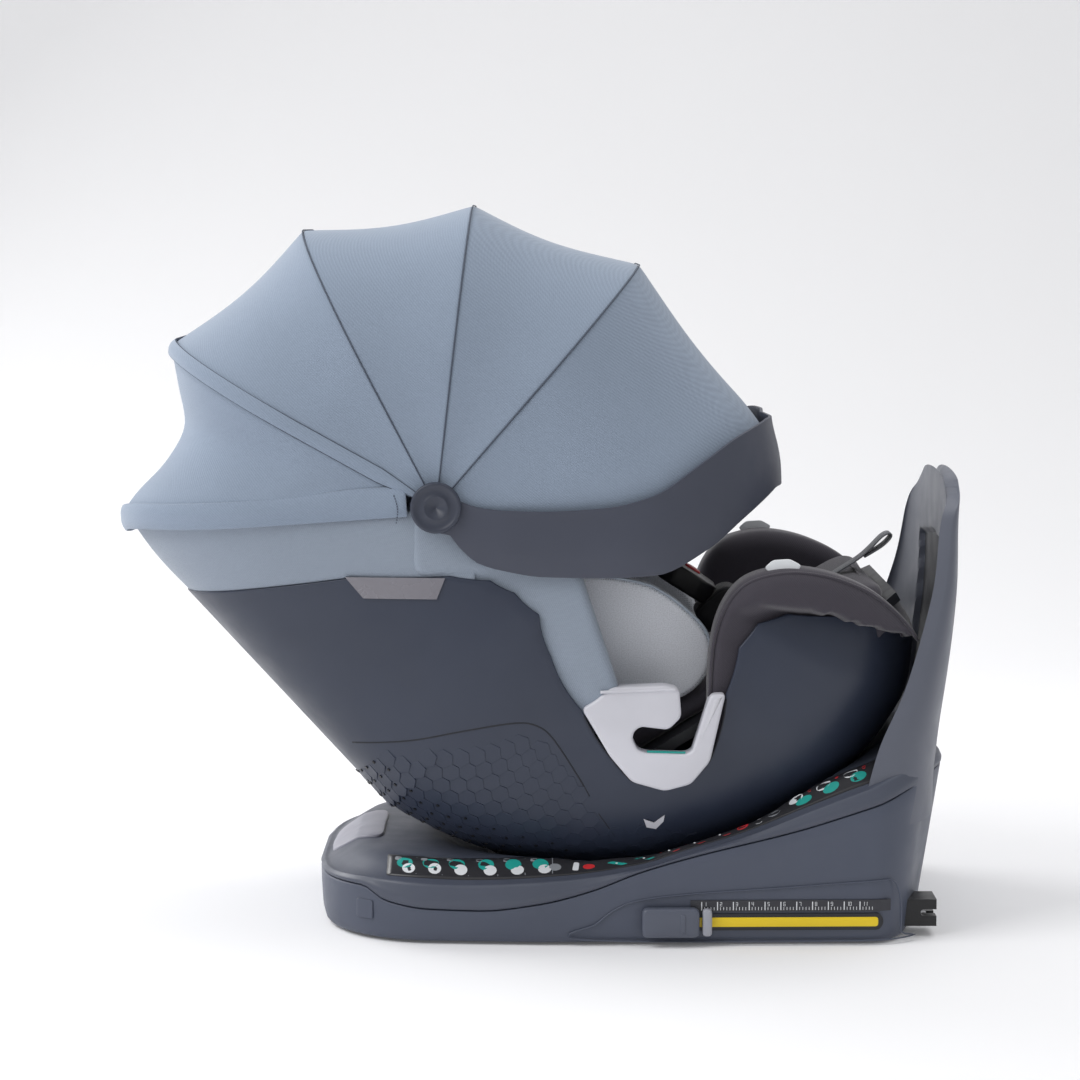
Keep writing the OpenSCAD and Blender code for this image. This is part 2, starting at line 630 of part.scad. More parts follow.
// Layer of the side wall behind the slider, from m0 in to m1 below the base's outline
module recess(m0, m1) {
    intersection() {
        linear_extrude(100) difference() {
            base_plan(m1);
            base_plan(m0);
        }
        both_sides(hb - 40, hb + 10)
            polygon([[-14, 4], [0, 24], [36, 44], [85, 51], [272, 63], [281, 60], [284, 8], [280, 4]]);
    }
}
foot_r = 16;
foot_sink = 2.5;
module feet() { for (x = [-190, 240], s = sides) translate([x, s * 130, 0]) children(); }
module rubber_feet() color([0.08, 0.08, 0.08]) feet() cylinder(r = foot_r, h = foot_sink);
module screws() { for (x = [-120, 150], s = sides) translate([x, s * 110, 0]) children(); }
module base_screws() color([0.6, 0.6, 0.62]) screws() {
    translate([0, 0, base_wall + 0.1]) cylinder(r = 4.5, h = 3);
    cylinder(r = 2.1, h = base_wall + 2);
}
// Cover with the dish that the seat turns and reclines in
pad_x = [-266, -216];
pad_w = 120;
pad_t = 5;
module pad_outline(m) {
    intersection() {
        offset(delta = -m) translate([pad_x[0], -pad_w / 2]) square([pad_x[1] - pad_x[0], pad_w]);
        base_plan(9 + m);
    }
}
module cover_body(drop, m) {
    intersection() {
        linear_extrude(300) base_plan(m);
        xz(-hb, hb) difference() {
            under(rim_line, drop);
            under(split_line, -gap / 2);
        }
    }
}
module dish(grow) { at_pivot() sphere(r = dish_r + grow, $fn = 128); }
module base_cover() color([0.33, 0.35, 0.4]) difference() {
    union() {
        cover_body(0, 0.6);
        // wall of the dish
        intersection() {
            linear_extrude(300) base_plan(base_wall + 1);
            xz(-hb, hb) under(rim_line, 0.2);
            difference() {
                dish(base_wall);
                dish(0);
                translate([-500, -500, -500]) cube([1000, 1000, 500 + base_wall + 18]);
            }
        }
    }
    dish(0);
    // hollow below the top, apart from the rim's wall and the dish's wall
    difference() {
        intersection() {
            linear_extrude(300) base_plan(base_wall + 1);
            xz(-hb, hb) under(rim_line, base_wall);
        }
        dish(base_wall);
    }
    translate([0, 0, -1]) cylinder(r = hub_r + 0.6, h = 100);
    for (a = [0:90:270]) rotate(a) translate([-lock_x, 0, 0]) cylinder(r = lock_r + 0.4, h = 90);
    translate([0, 0, 40]) linear_extrude(60) pad_outline(0);
}
module swivel_button() color([0.7, 0.7, 0.74]) intersection() {
    linear_extrude(300) pad_outline(0.8);
    xz(-hb, hb) difference() {
        under(rim_line, 0.4);
        under(rim_line, pad_t);
    }
}
// Steel plate frame between tray and turntable
frame_t = 3;
module base_frame() color([0.5, 0.51, 0.53]) difference() {
    translate([0, 0, base_wall + 0.3]) linear_extrude(frame_t) intersection() {
        union() {
            translate([-130, -90]) square([400, 180]);
            for (s = sides) translate([-20, s * anchor_pitch / 2 - 20]) square([300, 40]);
            translate([150, -anchor_pitch / 2]) square([40, anchor_pitch]);
        }
        base_plan(base_wall + 1);
    }
    translate([0, 0, -1]) cylinder(r = hub_r + 8, h = 30);
    screws() cylinder(r = 6, h = 40, center = true);
    translate([-lock_x, 0, 0]) cylinder(r = lock_r + 0.2, h = 40, center = true);
}
hub_r = 36;
module bearing_ring() color([0.55, 0.56, 0.58]) difference() {
    translate([0, 0, base_wall + 0.3 + frame_t + 0.2]) cylinder(r = hub_r + 20, h = 8);
    cylinder(r = hub_r + run, h = 60);
}
// Turntable: a shallow cap that rides in the dish, with a hub through the cover
cap_gap = 1;
cap_t = 4;
module turntable() color([0.25, 0.26, 0.29]) difference() {
    union() {
        intersection() {
            difference() {
                dish(-cap_gap);
                dish(-cap_gap - cap_t);
            }
            cylinder(r = turntable_r, h = 200);
        }
        translate([0, 0, base_wall + 0.8]) cylinder(r = hub_r, h = dish_floor + cap_gap + 1.2 - base_wall);
    }
    translate([0, 0, -1]) cylinder(r = 12, h = 100);
    for (a = [0:90:270]) rotate(a) translate([-lock_x, 0, 0]) cylinder(r = lock_r + 0.4, h = 200);
}
module hub_nut() color([0.6, 0.6, 0.62]) difference() {
    translate([0, 0, dish_floor + cap_gap + cap_t + 0.7]) cylinder(r = 20, h = 8, $fn = 6);
    cylinder(r = 8, h = 100);
}
// Arched rails with an outward lip, that the carriage inside the shell hooks under
rail_y = [58, 70];
rail_top = shell_r - 26;
lip_h = 6;
module arch(half_a, r0, r1) {
    polygon(concat([for (k = [-8:8]) polar(90 + half_a * k / 8, r0)],
                   [for (k = [8:-1:-8]) polar(90 + half_a * k / 8, r1)]));
}
module recline_rails() color([0.55, 0.56, 0.58]) {
    intersection() {
        at_pivot() both_sides(rail_y[0], rail_y[1]) arch(rail_a, rail_top, dish_r);
        dish(-cap_gap - cap_t);
    }
    at_pivot() both_sides(rail_y[1] - 0.1, rail_y[1] + 12) arch(rail_a, rail_top, rail_top + lip_h);
}
carriage_a = rail_a + recline_a + 1;
module recline_carriage() color([0.3, 0.31, 0.33]) at_pivot() {
    xz(-110, 110) arch(carriage_a, rail_top - 10, rail_top - 1);
    both_sides(84, 92) arch(carriage_a, rail_top - 1.1, rail_top + 13);
    both_sides(72, 84.1) arch(carriage_a, rail_top + lip_h + 1, rail_top + 13);
    both_sides(99, 110) arch(carriage_a, rail_top - 1.1, rail_top + 2);
}
lock_x = 92;
lock_r = 6;
module lock_pin() color([0.6, 0.6, 0.62])
    translate([-lock_x, 0, base_wall + 1]) cylinder(r = lock_r, h = dish_floor - base_wall + 9);

// Slider strips, rulers, plugs and label strips
module slot_strips() color([0.95, 0.82, 0.1]) intersection() {
    linear_extrude(100) difference() {
        base_plan(base_wall + 0.4);
        base_plan(base_wall + 1.6);
    }
    both_sides(hb - 40, hb) translate([slot_x[0] - 4, slot_z[0] + 5])
        square([slot_x[1] - slot_x[0] + 8, slot_z[1] - slot_z[0] - 3]);
}
module rulers() color([0.16, 0.16, 0.17]) intersection() {
    recess(recess_d / 2, recess_d / 2 - 0.5);
    both_sides(hb - 40, hb) translate([86, 34.5]) square([190, 10]);
}
module plugs() color([0.3, 0.32, 0.37]) intersection() {
    both_sides(hb - 60, hb + 10) translate([-223.5, 24.5]) square([17, 17]);
    difference() {
        tray_body(0.4);
        translate([0, 0, base_wall]) tray_body(base_wall);
    }
}
label_t = 0.6;
module label_strips() color([0.17, 0.17, 0.18]) intersection() {
    difference() {
        translate([0, 0, 0.05]) xz(-hb, hb) under(rim_line, -label_t);
        xz(-hb, hb) under(rim_line, 0);
    }
    linear_extrude(300) difference() {
        base_plan(14);
        base_plan(36);
        translate([-400, -80]) square([800, 160]);
        translate([240, -300]) square([300, 600]);
        translate([-500, -300]) square([280, 600]);
    }
    difference() {
        translate([-500, -500, 0]) cube(1000);
        dish(0.5);
    }
}

// ---------- rebound bar ----------
bar_in = foot_reach + 5;    // distance of its inner face from the swivel axis
bar_curve = 400;                // plan radius of its inner face
bar_front = [[238, 138], [262, 185], [287, 241], [304, 300], [316, 360], [324, 410], [334, bar_top - 8]];
module bar_band(m, t) {
    difference() {
        translate([bar_in - bar_curve, 0, 0]) cylinder(r = bar_curve + t, h = bar_top + 50, $fn = 200);
        translate([bar_in - bar_curve, 0, -1]) cylinder(r = bar_curve + m, h = bar_top + 60, $fn = 200);
    }
}
module bar_side() {
    polygon(concat(
        [for (p = rim_line) if (p[0] >= 200) [p[0], p[1] + gap]],
        [[420, bar_top - 30], [bar_in + 6, bar_top], [bar_in - 2, bar_top]],
        turned(bar_front)));
}
module rebound_bar() color([0.35, 0.36, 0.41]) difference() {
    intersection() {
        bar_band(0, bar_t);
        xz(-hb, hb) bar_side();
        linear_extrude(bar_top + 50) offset(delta = 8) base_plan(0);
    }
    bar_pocket(0);
}
// Recess in the bar's inner face
pocket_d = 6;
module bar_pocket(m) {
    intersection() {
        bar_band(-5, pocket_d - m);
        rotate([90, 0, 90]) linear_extrude(600) hull() {
            for (s = sides) translate([s * (70 - 20), bar_top - 80]) circle(20 - m);
            translate([-85 + m, 200]) square([170 - 2 * m, 10]);
        }
    }
}
module bar_inset() color([0.2, 0.22, 0.25]) difference() {
    bar_pocket(0.4);
    bar_band(-8, 2.5);
}

// ---------- anchor arms ----------
module arms_at() { for (s = sides) translate([0, s * anchor_pitch / 2, arm_z]) children(); }
housing_x = [232, 322];
module anchor_arms() color([0.5, 0.51, 0.53]) arms_at() difference() {
    translate([70, -arm_w / 2, -arm_h / 2]) cube([housing_x[0] - 70 + 20, arm_w, arm_h]);
    translate([60, -arm_w / 2 + 2, -arm_h / 2 + 2]) cube([housing_x[0] - 70 + 40, arm_w - 4, arm_h - 4]);
}
hook_t = 8;
// Round-ended slot for a bar across the arm, open towards +X
module jaw(r, l) {
    rotate([90, 0, 0]) cylinder(r = r, h = l, center = true);
    translate([0, -l / 2, -r]) cube([30, l, 2 * r]);
}
module arm_housings() color([0.12, 0.12, 0.13]) arms_at() difference() {
    translate([housing_x[0], -18, -13]) cube([housing_x[1] - housing_x[0], 36, 26]);
    translate([housing_x[0] - 1, -arm_w / 2 - 0.2, -arm_h / 2 - 0.2]) cube([22, arm_w + 0.4, arm_h + 0.4]);
    // mouth for the anchor bar and room for the hook
    translate([housing_x[1] - 30, -hook_t / 2 - 0.5, -11]) cube([40, hook_t + 1, 22]);
    translate([housing_x[1] - 12, 0, 0]) jaw(anchor_bar_r + 0.3, 50);
    // pocket of the release slide, on top
    translate([housing_x[0] + 24, -9, 9]) cube([34, 18, 10]);
}
module anchor_hooks() color([0.65, 0.65, 0.67]) arms_at() translate([housing_x[1] - 12, 0, 0]) difference() {
    translate([-16, -hook_t / 2, -6.5]) cube([20, hook_t, 13]);
    jaw(anchor_bar_r + run, 30);
}
module hook_releases() color([0.2, 0.6, 0.3]) arms_at()
    translate([housing_x[0] + 26, -8, 9.6]) cube([20, 16, 5.4]);
// Side knobs, each joined to its arm by a flat link through the slot
knob_t = 11;
module slider_knobs() color([0.35, 0.37, 0.42]) {
    both_sides(hb - recess_d / 2 + 1, hb + knob_t - 2) difference() {
        hull() for (x = [knob_x[0] + 5, knob_x[1] - 19], z = [12, 36]) translate([x, z]) circle(4);
        hull() for (z = [17, 31]) translate([knob_x[1] - 26, z]) circle(1.5);
    }
    both_sides(anchor_pitch / 2 + arm_w / 2 + 0.4, hb - recess_d / 2 + 2)
        translate([knob_x[0] + 36, slot_z[0] + 0.5]) square([14, 3.6]);
}
module knob_buttons() color([0.66, 0.67, 0.7])
    both_sides(hb - recess_d / 2 + 1.5, hb + knob_t - 3.5)
        hull() for (x = [knob_x[1] - 9, knob_x[1] - 4], z = [13, 35]) translate([x, z]) circle(3);

base_tray();
base_cover();
base_frame();
bearing_ring();
rubber_feet();
base_screws();
slot_strips();
rulers();
plugs();
label_strips();
rebound_bar();
bar_inset();
turntable();
recline_rails();
hub_nut();
swivel_button();
lock_pin();
recline_carriage();
anchor_arms();
arm_housings();
slider_knobs();
knob_buttons();
anchor_hooks();
hook_releases();
seat_shell();
seat_bucket();
belt_guides();
belt_lines();
side_plates();
recline_pointers();
wing_covers();
thigh_bolsters();
seat_cushion();
backrest_cushion();
infant_insert();
shoulder_straps();
shoulder_pads();
buckle_body();
buckle_button();
buckle_tongues();
crotch_pad();
adjuster_strap();
adjuster_button();
recline_lever();
hood_brackets();
rear_bow();
headrest_shell();
headrest_cushion();
headrest_lever();
bow_1();
bow_2();
bow_3();
bow_4();
visor();
hub_caps();
hood_panel_1();
hood_panel_2();
hood_panel_3();
hood_panel_4();
hood_panel_5();
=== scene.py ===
"""Convertible child car seat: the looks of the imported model, in metres, around its own frame."""

import json
import math

import bmesh
import bpy
import numpy as np
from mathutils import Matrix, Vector
from mathutils.bvhtree import BVHTree


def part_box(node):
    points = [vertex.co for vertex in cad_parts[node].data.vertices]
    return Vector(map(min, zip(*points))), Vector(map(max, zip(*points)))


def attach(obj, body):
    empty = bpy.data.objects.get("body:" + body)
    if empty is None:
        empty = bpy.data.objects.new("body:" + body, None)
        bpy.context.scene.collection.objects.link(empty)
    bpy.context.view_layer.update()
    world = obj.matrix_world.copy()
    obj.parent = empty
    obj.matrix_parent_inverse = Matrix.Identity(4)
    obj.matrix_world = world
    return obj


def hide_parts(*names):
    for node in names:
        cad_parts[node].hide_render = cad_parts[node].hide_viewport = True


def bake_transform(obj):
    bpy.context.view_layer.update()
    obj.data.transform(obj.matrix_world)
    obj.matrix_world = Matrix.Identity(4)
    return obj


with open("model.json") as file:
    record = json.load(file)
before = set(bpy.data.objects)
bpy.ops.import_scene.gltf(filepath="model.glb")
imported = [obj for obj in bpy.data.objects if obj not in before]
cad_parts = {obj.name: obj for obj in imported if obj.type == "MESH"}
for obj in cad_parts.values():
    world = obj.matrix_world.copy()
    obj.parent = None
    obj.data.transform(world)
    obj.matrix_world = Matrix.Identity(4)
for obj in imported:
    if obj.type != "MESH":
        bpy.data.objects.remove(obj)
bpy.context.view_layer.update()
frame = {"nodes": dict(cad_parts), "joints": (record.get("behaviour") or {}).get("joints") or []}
MM = 0.001


def joint_pos(name):
    """Place of a joint's axis, in millimetres."""
    found = [j for j in frame["joints"] if j["name"] == name][0]
    return np.array(found["pos_m"], float) / MM


def box_mm(node):
    """Lowest and highest corner of a CAD node, in millimetres."""
    low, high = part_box(node)
    return np.array(low) / MM, np.array(high) / MM


PIVOT = joint_pos("recline")
HUB = joint_pos("bow_1_fold")
SIDES = ((-1, "left"), (1, "right"))

# ---------- sizes shared with the CAD model, in millimetres ----------
HALF_W = 210
SHELL_R = 344
BACK_R = 340
BACK_TILT = 42.7
SHELL_POWER = 3.4
HEAD_A = 8.5
FOOT_A = 161.5
BELLY = [[0, 3], [50, 1], [60, -3], [76, -6], [120, -6], [136, -1], [150, -1], [162, -16], [180, -20]]
EDGE = [
    [8.5, 235], [12.7, 146], [19, 111], [30, 95], [49, 90], [66, 118], [83, 160], [92, 204], [97, 230],
    [104, 244], [110, 245], [116, 232], [129, 185], [142, 163], [152, 166], [158, 188], [161.5, 235],
]
TAPER = [[0, 0.97], [40, 1], [125, 1], [150, 0.95], [165, 0.86], [180, 0.8]]
HIP = np.array([-10.0, -238.0])
BACK_DIR = 151.2
SEAT_DIR = 31.5
BOW_LEN = [308, 298, 287, 280, 293]
BOW_ANGLE = [-4, 29, 62.5, 96.5, 131]
BOW_CORNER = 150
BOW_Y = HALF_W - 3.4
VISOR_LINE = [
    [14, 9, -30], [38, 0, -52], [60, -3, -59], [97, -4, -65], [152, -1, -66], [199, 10, -64], [247, 40, -42],
    [282, 62, -15], [316, 76, 10],
]
VISOR_Y = HALF_W + 4.5
VISOR_R = 165
GUIDE_INNER = [
    [101, -143], [84, -197], [78, -200], [41, -199], [33, -196], [28, -185], [30, -178], [36, -174],
    [62, -177], [74, -165], [72, -138], [58, -135], [8, -137], [-8, -150],
]
DISH_FLOOR = 34
DISH_R = PIVOT[2] - DISH_FLOOR
SPLIT_LINE = [
    [-300, 50], [-230, 52], [-206, 40], [-163, 34], [-115, 33], [-58, 40], [-11, 52], [36, 70], [83, 84],
    [187, 110], [263, 134], [326, 154], [420, 160],
]
RIM_LINE = [
    [-300, 50], [-268, 58], [-218, 61], [-135, 58], [-40, 63], [36, 74], [83, 88.5], [131, 103], [200, 130],
    [245, 147], [300, 165], [420, 170],
]


# ---------- curves and tables ----------
def lookup(x, table):
    """Straight-line lookup, as the CAD model does it."""
    t = np.array(table, float)
    return np.interp(x, t[:, 0], t[:, 1])


def smooth_lookup(x, table, column=1):
    """Smooth lookup through a table's points, without overshoot."""
    t = np.array(table, float)
    xs, ys = t[:, 0], t[:, column]
    d = np.diff(ys) / np.diff(xs)
    m = np.zeros(len(xs))
    m[1:-1] = np.where(d[1:] * d[:-1] > 0, 2 * d[1:] * d[:-1] / (d[1:] + d[:-1] + 1e-12), 0)
    m[0], m[-1] = d[0], d[-1]
    x = np.clip(x, xs[0], xs[-1])
    i = np.clip(np.searchsorted(xs, x, side="right") - 1, 0, len(xs) - 2)
    h = xs[i + 1] - xs[i]
    u = (x - xs[i]) / h
    a = (1 + 2 * u) * (1 - u) ** 2 * ys[i] + u * (1 - u) ** 2 * h * m[i]
    return a + u * u * (3 - 2 * u) * ys[i + 1] + u * u * (u - 1) * h * m[i + 1]


def smoothstep(a, b, x):
    """0 below a, 1 above b, and a smooth rise between them."""
    u = np.clip((x - a) / (b - a), 0, 1)
    return u * u * (3 - 2 * u)


def spline(points, n, closed=False):
    """n points evenly along a smooth curve through the given points."""
    p = np.array(points, float)
    if closed:
        q = np.vstack([p[-1:], p, p[:2]])
    else:
        q = np.vstack([2 * p[:1] - p[1:2], p, 2 * p[-1:] - p[-2:-1]])
    out = []
    for i in range(1, len(q) - 2):
        for u in np.linspace(0, 1, 16, endpoint=False):
            a, b, c, d = q[i - 1], q[i], q[i + 1], q[i + 2]
            out.append(0.5 * (2 * b + (c - a) * u + (2 * a - 5 * b + 4 * c - d) * u**2
                              + (3 * b - a - 3 * c + d) * u**3))
    if not closed:
        out.append(p[-1])
    return resample(np.array(out), n, closed)


def resample(p, n, closed=False):
    """n points evenly along a polyline."""
    q = np.vstack([p, p[:1]]) if closed else p
    s = np.concatenate([[0], np.cumsum(np.linalg.norm(np.diff(q, axis=0), axis=1))])
    at = np.linspace(0, s[-1], n, endpoint=not closed)
    return np.stack([np.interp(at, s, q[:, k]) for k in range(q.shape[1])], axis=1)


def rounded(points, radius, steps=5):
    """A closed outline with each corner cut by an arc."""
    p = np.array(points, float)
    out = []
    for i in range(len(p)):
        a, b, c = p[i - 1], p[i], p[(i + 1) % len(p)]
        la, lc = np.linalg.norm(a - b), np.linalg.norm(c - b)
        r = min(radius, 0.45 * la, 0.45 * lc)
        s, e = b + (a - b) / la * r, b + (c - b) / lc * r
        for u in np.linspace(0, 1, steps):
            out.append((1 - u) ** 2 * s + 2 * u * (1 - u) * b + u * u * e)
    return np.array(out)


def normals_2d(p):
    """Outward normals of a closed outline."""
    t = np.roll(p, -1, 0) - np.roll(p, 1, 0)
    n = np.stack([t[:, 1], -t[:, 0]], 1)
    n /= np.linalg.norm(n, axis=1, keepdims=True) + 1e-9
    area = np.sum(p[:, 0] * np.roll(p[:, 1], -1) - np.roll(p[:, 0], -1) * p[:, 1])
    return n if area > 0 else -n


# ---------- the shell's surface ----------
def round_pow(v):
    """Rounded-square profile of the shell's section."""
    return np.sign(v) * np.abs(v) ** (2 / SHELL_POWER)


def outer_r(a):
    """The shell's radius about the pivot at angle a: a straight back, then the belly."""
    a = np.asarray(a, float)
    d = np.clip(np.abs(a - BACK_TILT), 0, 60)
    back = np.where(np.abs(a - BACK_TILT) < 50, BACK_R / np.cos(np.radians(d)), 2 * BACK_R)
    return np.where(a < BACK_TILT, back, np.minimum(back, SHELL_R + smooth_lookup(a, BELLY)))


def shell_point(a, t, inset=0.0):
    """Point of the shell's surface, in millimetres: t is 0 at the -Y side, 90 at the bottom."""
    rho = (outer_r(a) - inset) * round_pow(np.sin(np.radians(t)))
    y = -(HALF_W * lookup(a, TAPER) - inset) * round_pow(np.cos(np.radians(t)))
    x = -rho * np.cos(np.radians(a))
    z = -rho * np.sin(np.radians(a))
    return np.stack(np.broadcast_arrays(x, y, z + PIVOT[2]), -1)


def edge_t(a, drop=0.0):
    """Section angle at which the shell's upper edge lies, or a line drop millimetres below it."""
    share = (lookup(a, EDGE) + drop) / outer_r(a)
    return np.degrees(np.arcsin(np.minimum(1, share ** (SHELL_POWER / 2))))


def side_y(x, z, inset=0.0):
    """|y| of the shell's side at a point of the side view (z above the floor)."""
    p = np.array([x, z - PIVOT[2]], float)
    a = math.degrees(math.atan2(-p[1], -p[0]))
    w = HALF_W * lookup(a, TAPER) - inset
    share = min(0.999, np.linalg.norm(p) / float(outer_r(a) - inset))
    return float(w * (1 - share**SHELL_POWER) ** (1 / SHELL_POWER))


# ---------- meshes ----------
def add_mesh(name, verts, faces, material, smooth=True):
    """An object from points in millimetres."""
    mesh = bpy.data.meshes.new(name)
    mesh.from_pydata([tuple(v) for v in np.asarray(verts, float) * MM], [], [tuple(f) for f in faces])
    bm = bmesh.new()
    bm.from_mesh(mesh)
    bmesh.ops.remove_doubles(bm, verts=bm.verts, dist=2e-6)
    bmesh.ops.recalc_face_normals(bm, faces=bm.faces)
    bm.to_mesh(mesh)
    bm.free()
    obj = bpy.data.objects.new(name, mesh)
    bpy.context.scene.collection.objects.link(obj)
    mesh.materials.append(material)
    mesh.polygons.foreach_set("use_smooth", [smooth] * len(mesh.polygons))
    return obj


def grid_faces(rows, cols, wrap_cols=False, wrap_rows=False):
    """Four-sided faces between the rows and columns of a grid of points."""
    faces = []
    for i in range(rows if wrap_rows else rows - 1):
        for j in range(cols if wrap_cols else cols - 1):
            k, m = (i + 1) % rows, (j + 1) % cols
            faces.append((i * cols + j, i * cols + m, k * cols + m, k * cols + j))
    return faces


def grid_object(name, points, material, wrap_cols=False, wrap_rows=False, caps=False):
    """A surface through a grid of points (rows, columns, 3); caps close its two ends."""
    p = np.asarray(points, float)
    rows, cols = p.shape[:2]
    faces = grid_faces(rows, cols, wrap_cols, wrap_rows)
    if caps:
        faces += [tuple(range(cols)), tuple((rows - 1) * cols + j for j in range(cols))]
    return add_mesh(name, p.reshape(-1, 3), faces, material)


def thicken(obj, t, offset=-1.0):
    """Gives a surface a thickness of t millimetres."""
    m = obj.modifiers.new("thick", "SOLIDIFY")
    m.thickness = t * MM
    m.offset = offset


def subdivide(obj):
    """Smooths a mesh by one level of subdivision."""
    m = obj.modifiers.new("smooth", "SUBSURF")
    m.levels = m.render_levels = 1


def soften(obj, width, segments, angle):
    """Rounds the edges sharper than angle (degrees) by width millimetres."""
    m = obj.modifiers.new("edges", "BEVEL")
    m.width = width * MM
    m.segments = segments
    m.limit_method = "ANGLE"
    m.angle_limit = math.radians(angle)
    m.harden_normals = False


def tube(name, path, radius, material, closed=False, sides=8, flat=1.0):
    """A round (or flattened) tube along points in millimetres."""
    p = np.array(path, float)
    n = len(p)
    t = np.roll(p, -1, 0) - np.roll(p, 1, 0)
    if not closed:
        t[0], t[-1] = p[1] - p[0], p[-1] - p[-2]
    t /= np.linalg.norm(t, axis=1, keepdims=True) + 1e-9
    up = np.cross(t[0], [0.3, 0.2, 1.0])
    rings = []
    for i in range(n):
        up = up - t[i] * np.dot(up, t[i])
        up /= np.linalg.norm(up) + 1e-9
        side = np.cross(t[i], up)
        ring = [p[i] + radius * (up * math.cos(k) + side * flat * math.sin(k))
                for k in np.linspace(0, 2 * math.pi, sides, endpoint=False)]
        rings.append(ring)
    return grid_object(name, rings, material, wrap_cols=True, wrap_rows=closed, caps=not closed)


def slab_points(outline, w0, w1, r0, r1, steps):
    """Rings of a slab from w0 to w1 over its outline, with edges rounded by r0 and r1."""
    p = np.array(outline, float)
    nrm = normals_2d(p)
    rings = []
    for k in np.linspace(90, 0, steps):
        inset = r0 * (1 - math.cos(math.radians(k)))
        rings.append((p - nrm * inset, w0 + math.copysign(r0, w1 - w0) * (1 - math.sin(math.radians(k)))))
    for k in np.linspace(0, 90, steps):
        inset = r1 * (1 - math.cos(math.radians(k)))
        rings.append((p - nrm * inset, w1 - math.copysign(r1, w1 - w0) * (1 - math.sin(math.radians(k)))))
    return rings


def slab(name, outline, w0, w1, place, material, r0=1.0, r1=2.0, crown=0.0, steps=4, inner=(0.8, 0.5, 0.2)):
    """A slab with rounded edges; place(u, v, w) gives the point in millimetres. crown swells its w1 face."""
    rings = slab_points(outline, w0, w1, r0, r1, steps)
    last, w_end = rings[-1]
    if crown or len(inner) > 3:
        middle = last.mean(0)
        for k in inner:
            rings.append((middle + (last - middle) * k, w_end + math.copysign(crown, w1 - w0) * (1 - k * k)))
    n = len(outline)
    verts = np.array([place(q[0], q[1], w) for ring, w in rings for q in ring])
    faces = grid_faces(len(rings), n, wrap_cols=True)
    faces += [tuple(range(n)), tuple((len(rings) - 1) * n + j for j in range(n))]
    obj = add_mesh(name, verts, faces, material)
    bm = bmesh.new()
    bm.from_mesh(obj.data)
    big = [f for f in bm.faces if len(f.verts) > 4]
    bmesh.ops.triangulate(bm, faces=big)
    bm.to_mesh(obj.data)
    bm.free()
    return obj


def join(name, parts):
    """Joins several objects into one."""
    for o in bpy.context.selected_objects:
        o.select_set(False)
    for o in parts:
        o.select_set(True)
    bpy.context.view_layer.objects.active = parts[0]
    bpy.ops.object.join()
    parts[0].name = name
    return parts[0]


def finish_piece(obj, body, slot, replaces=()):
    """Says which body a piece rides on and the CAD nodes it stands for; slot, its material slot, is not
    used.
    """
    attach(obj, body)
    if replaces:
        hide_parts(*replaces)


def finish_pad(obj, body, slot, replaces=()):
    """Finishes a padded piece: smoothed by one level of subdivision."""
    subdivide(obj)
    finish_piece(obj, body, slot, replaces)


def apply_modifiers(obj):
    """Replaces the mesh by its evaluated form."""
    graph = bpy.context.evaluated_depsgraph_get()
    mesh = bpy.data.meshes.new_from_object(obj.evaluated_get(graph))
    obj.modifiers.clear()
    obj.data = mesh


def inflate(obj, pressure=4.0, cap=8.0, voxel=6.0, frames=20):
    """Swells a closed cushion by cloth simulation, no point moving further than cap (millimetres)."""
    remesh = obj.modifiers.new("even", "REMESH")
    remesh.mode = "VOXEL"
    remesh.voxel_size = voxel * MM
    remesh.use_smooth_shade = True
    apply_modifiers(obj)
    rest = np.array([v.co for v in obj.data.vertices])
    cloth = obj.modifiers.new("cloth", "CLOTH")
    cloth.settings.use_pressure = True
    cloth.settings.uniform_pressure_force = pressure
    cloth.settings.effector_weights.gravity = 0
    cloth.point_cache.frame_start = 1
    cloth.point_cache.frame_end = frames
    scene = bpy.context.scene
    for f in range(1, frames + 1):
        scene.frame_set(f)
    apply_modifiers(obj)
    now = np.array([v.co for v in obj.data.vertices])
    move = now - rest
    size = np.linalg.norm(move, axis=1, keepdims=True)
    now = rest + move * np.minimum(1, cap * MM / (size + 1e-9))
    for v, co in zip(obj.data.vertices, now):
        v.co = co
    scene.frame_set(1)
    obj.data.polygons.foreach_set("use_smooth", [True] * len(obj.data.polygons))


# ---------- materials ----------
def linear(r, g, b):
    """Linear colour of an sRGB colour given from 0 to 255."""
    out = []
    for c in (r / 255, g / 255, b / 255):
        out.append(c / 12.92 if c <= 0.04045 else ((c + 0.055) / 1.055) ** 2.4)
    return (*out, 1.0)


def shade(color, k):
    """A colour made darker or lighter."""
    return (color[0] * k, color[1] * k, color[2] * k, 1.0)


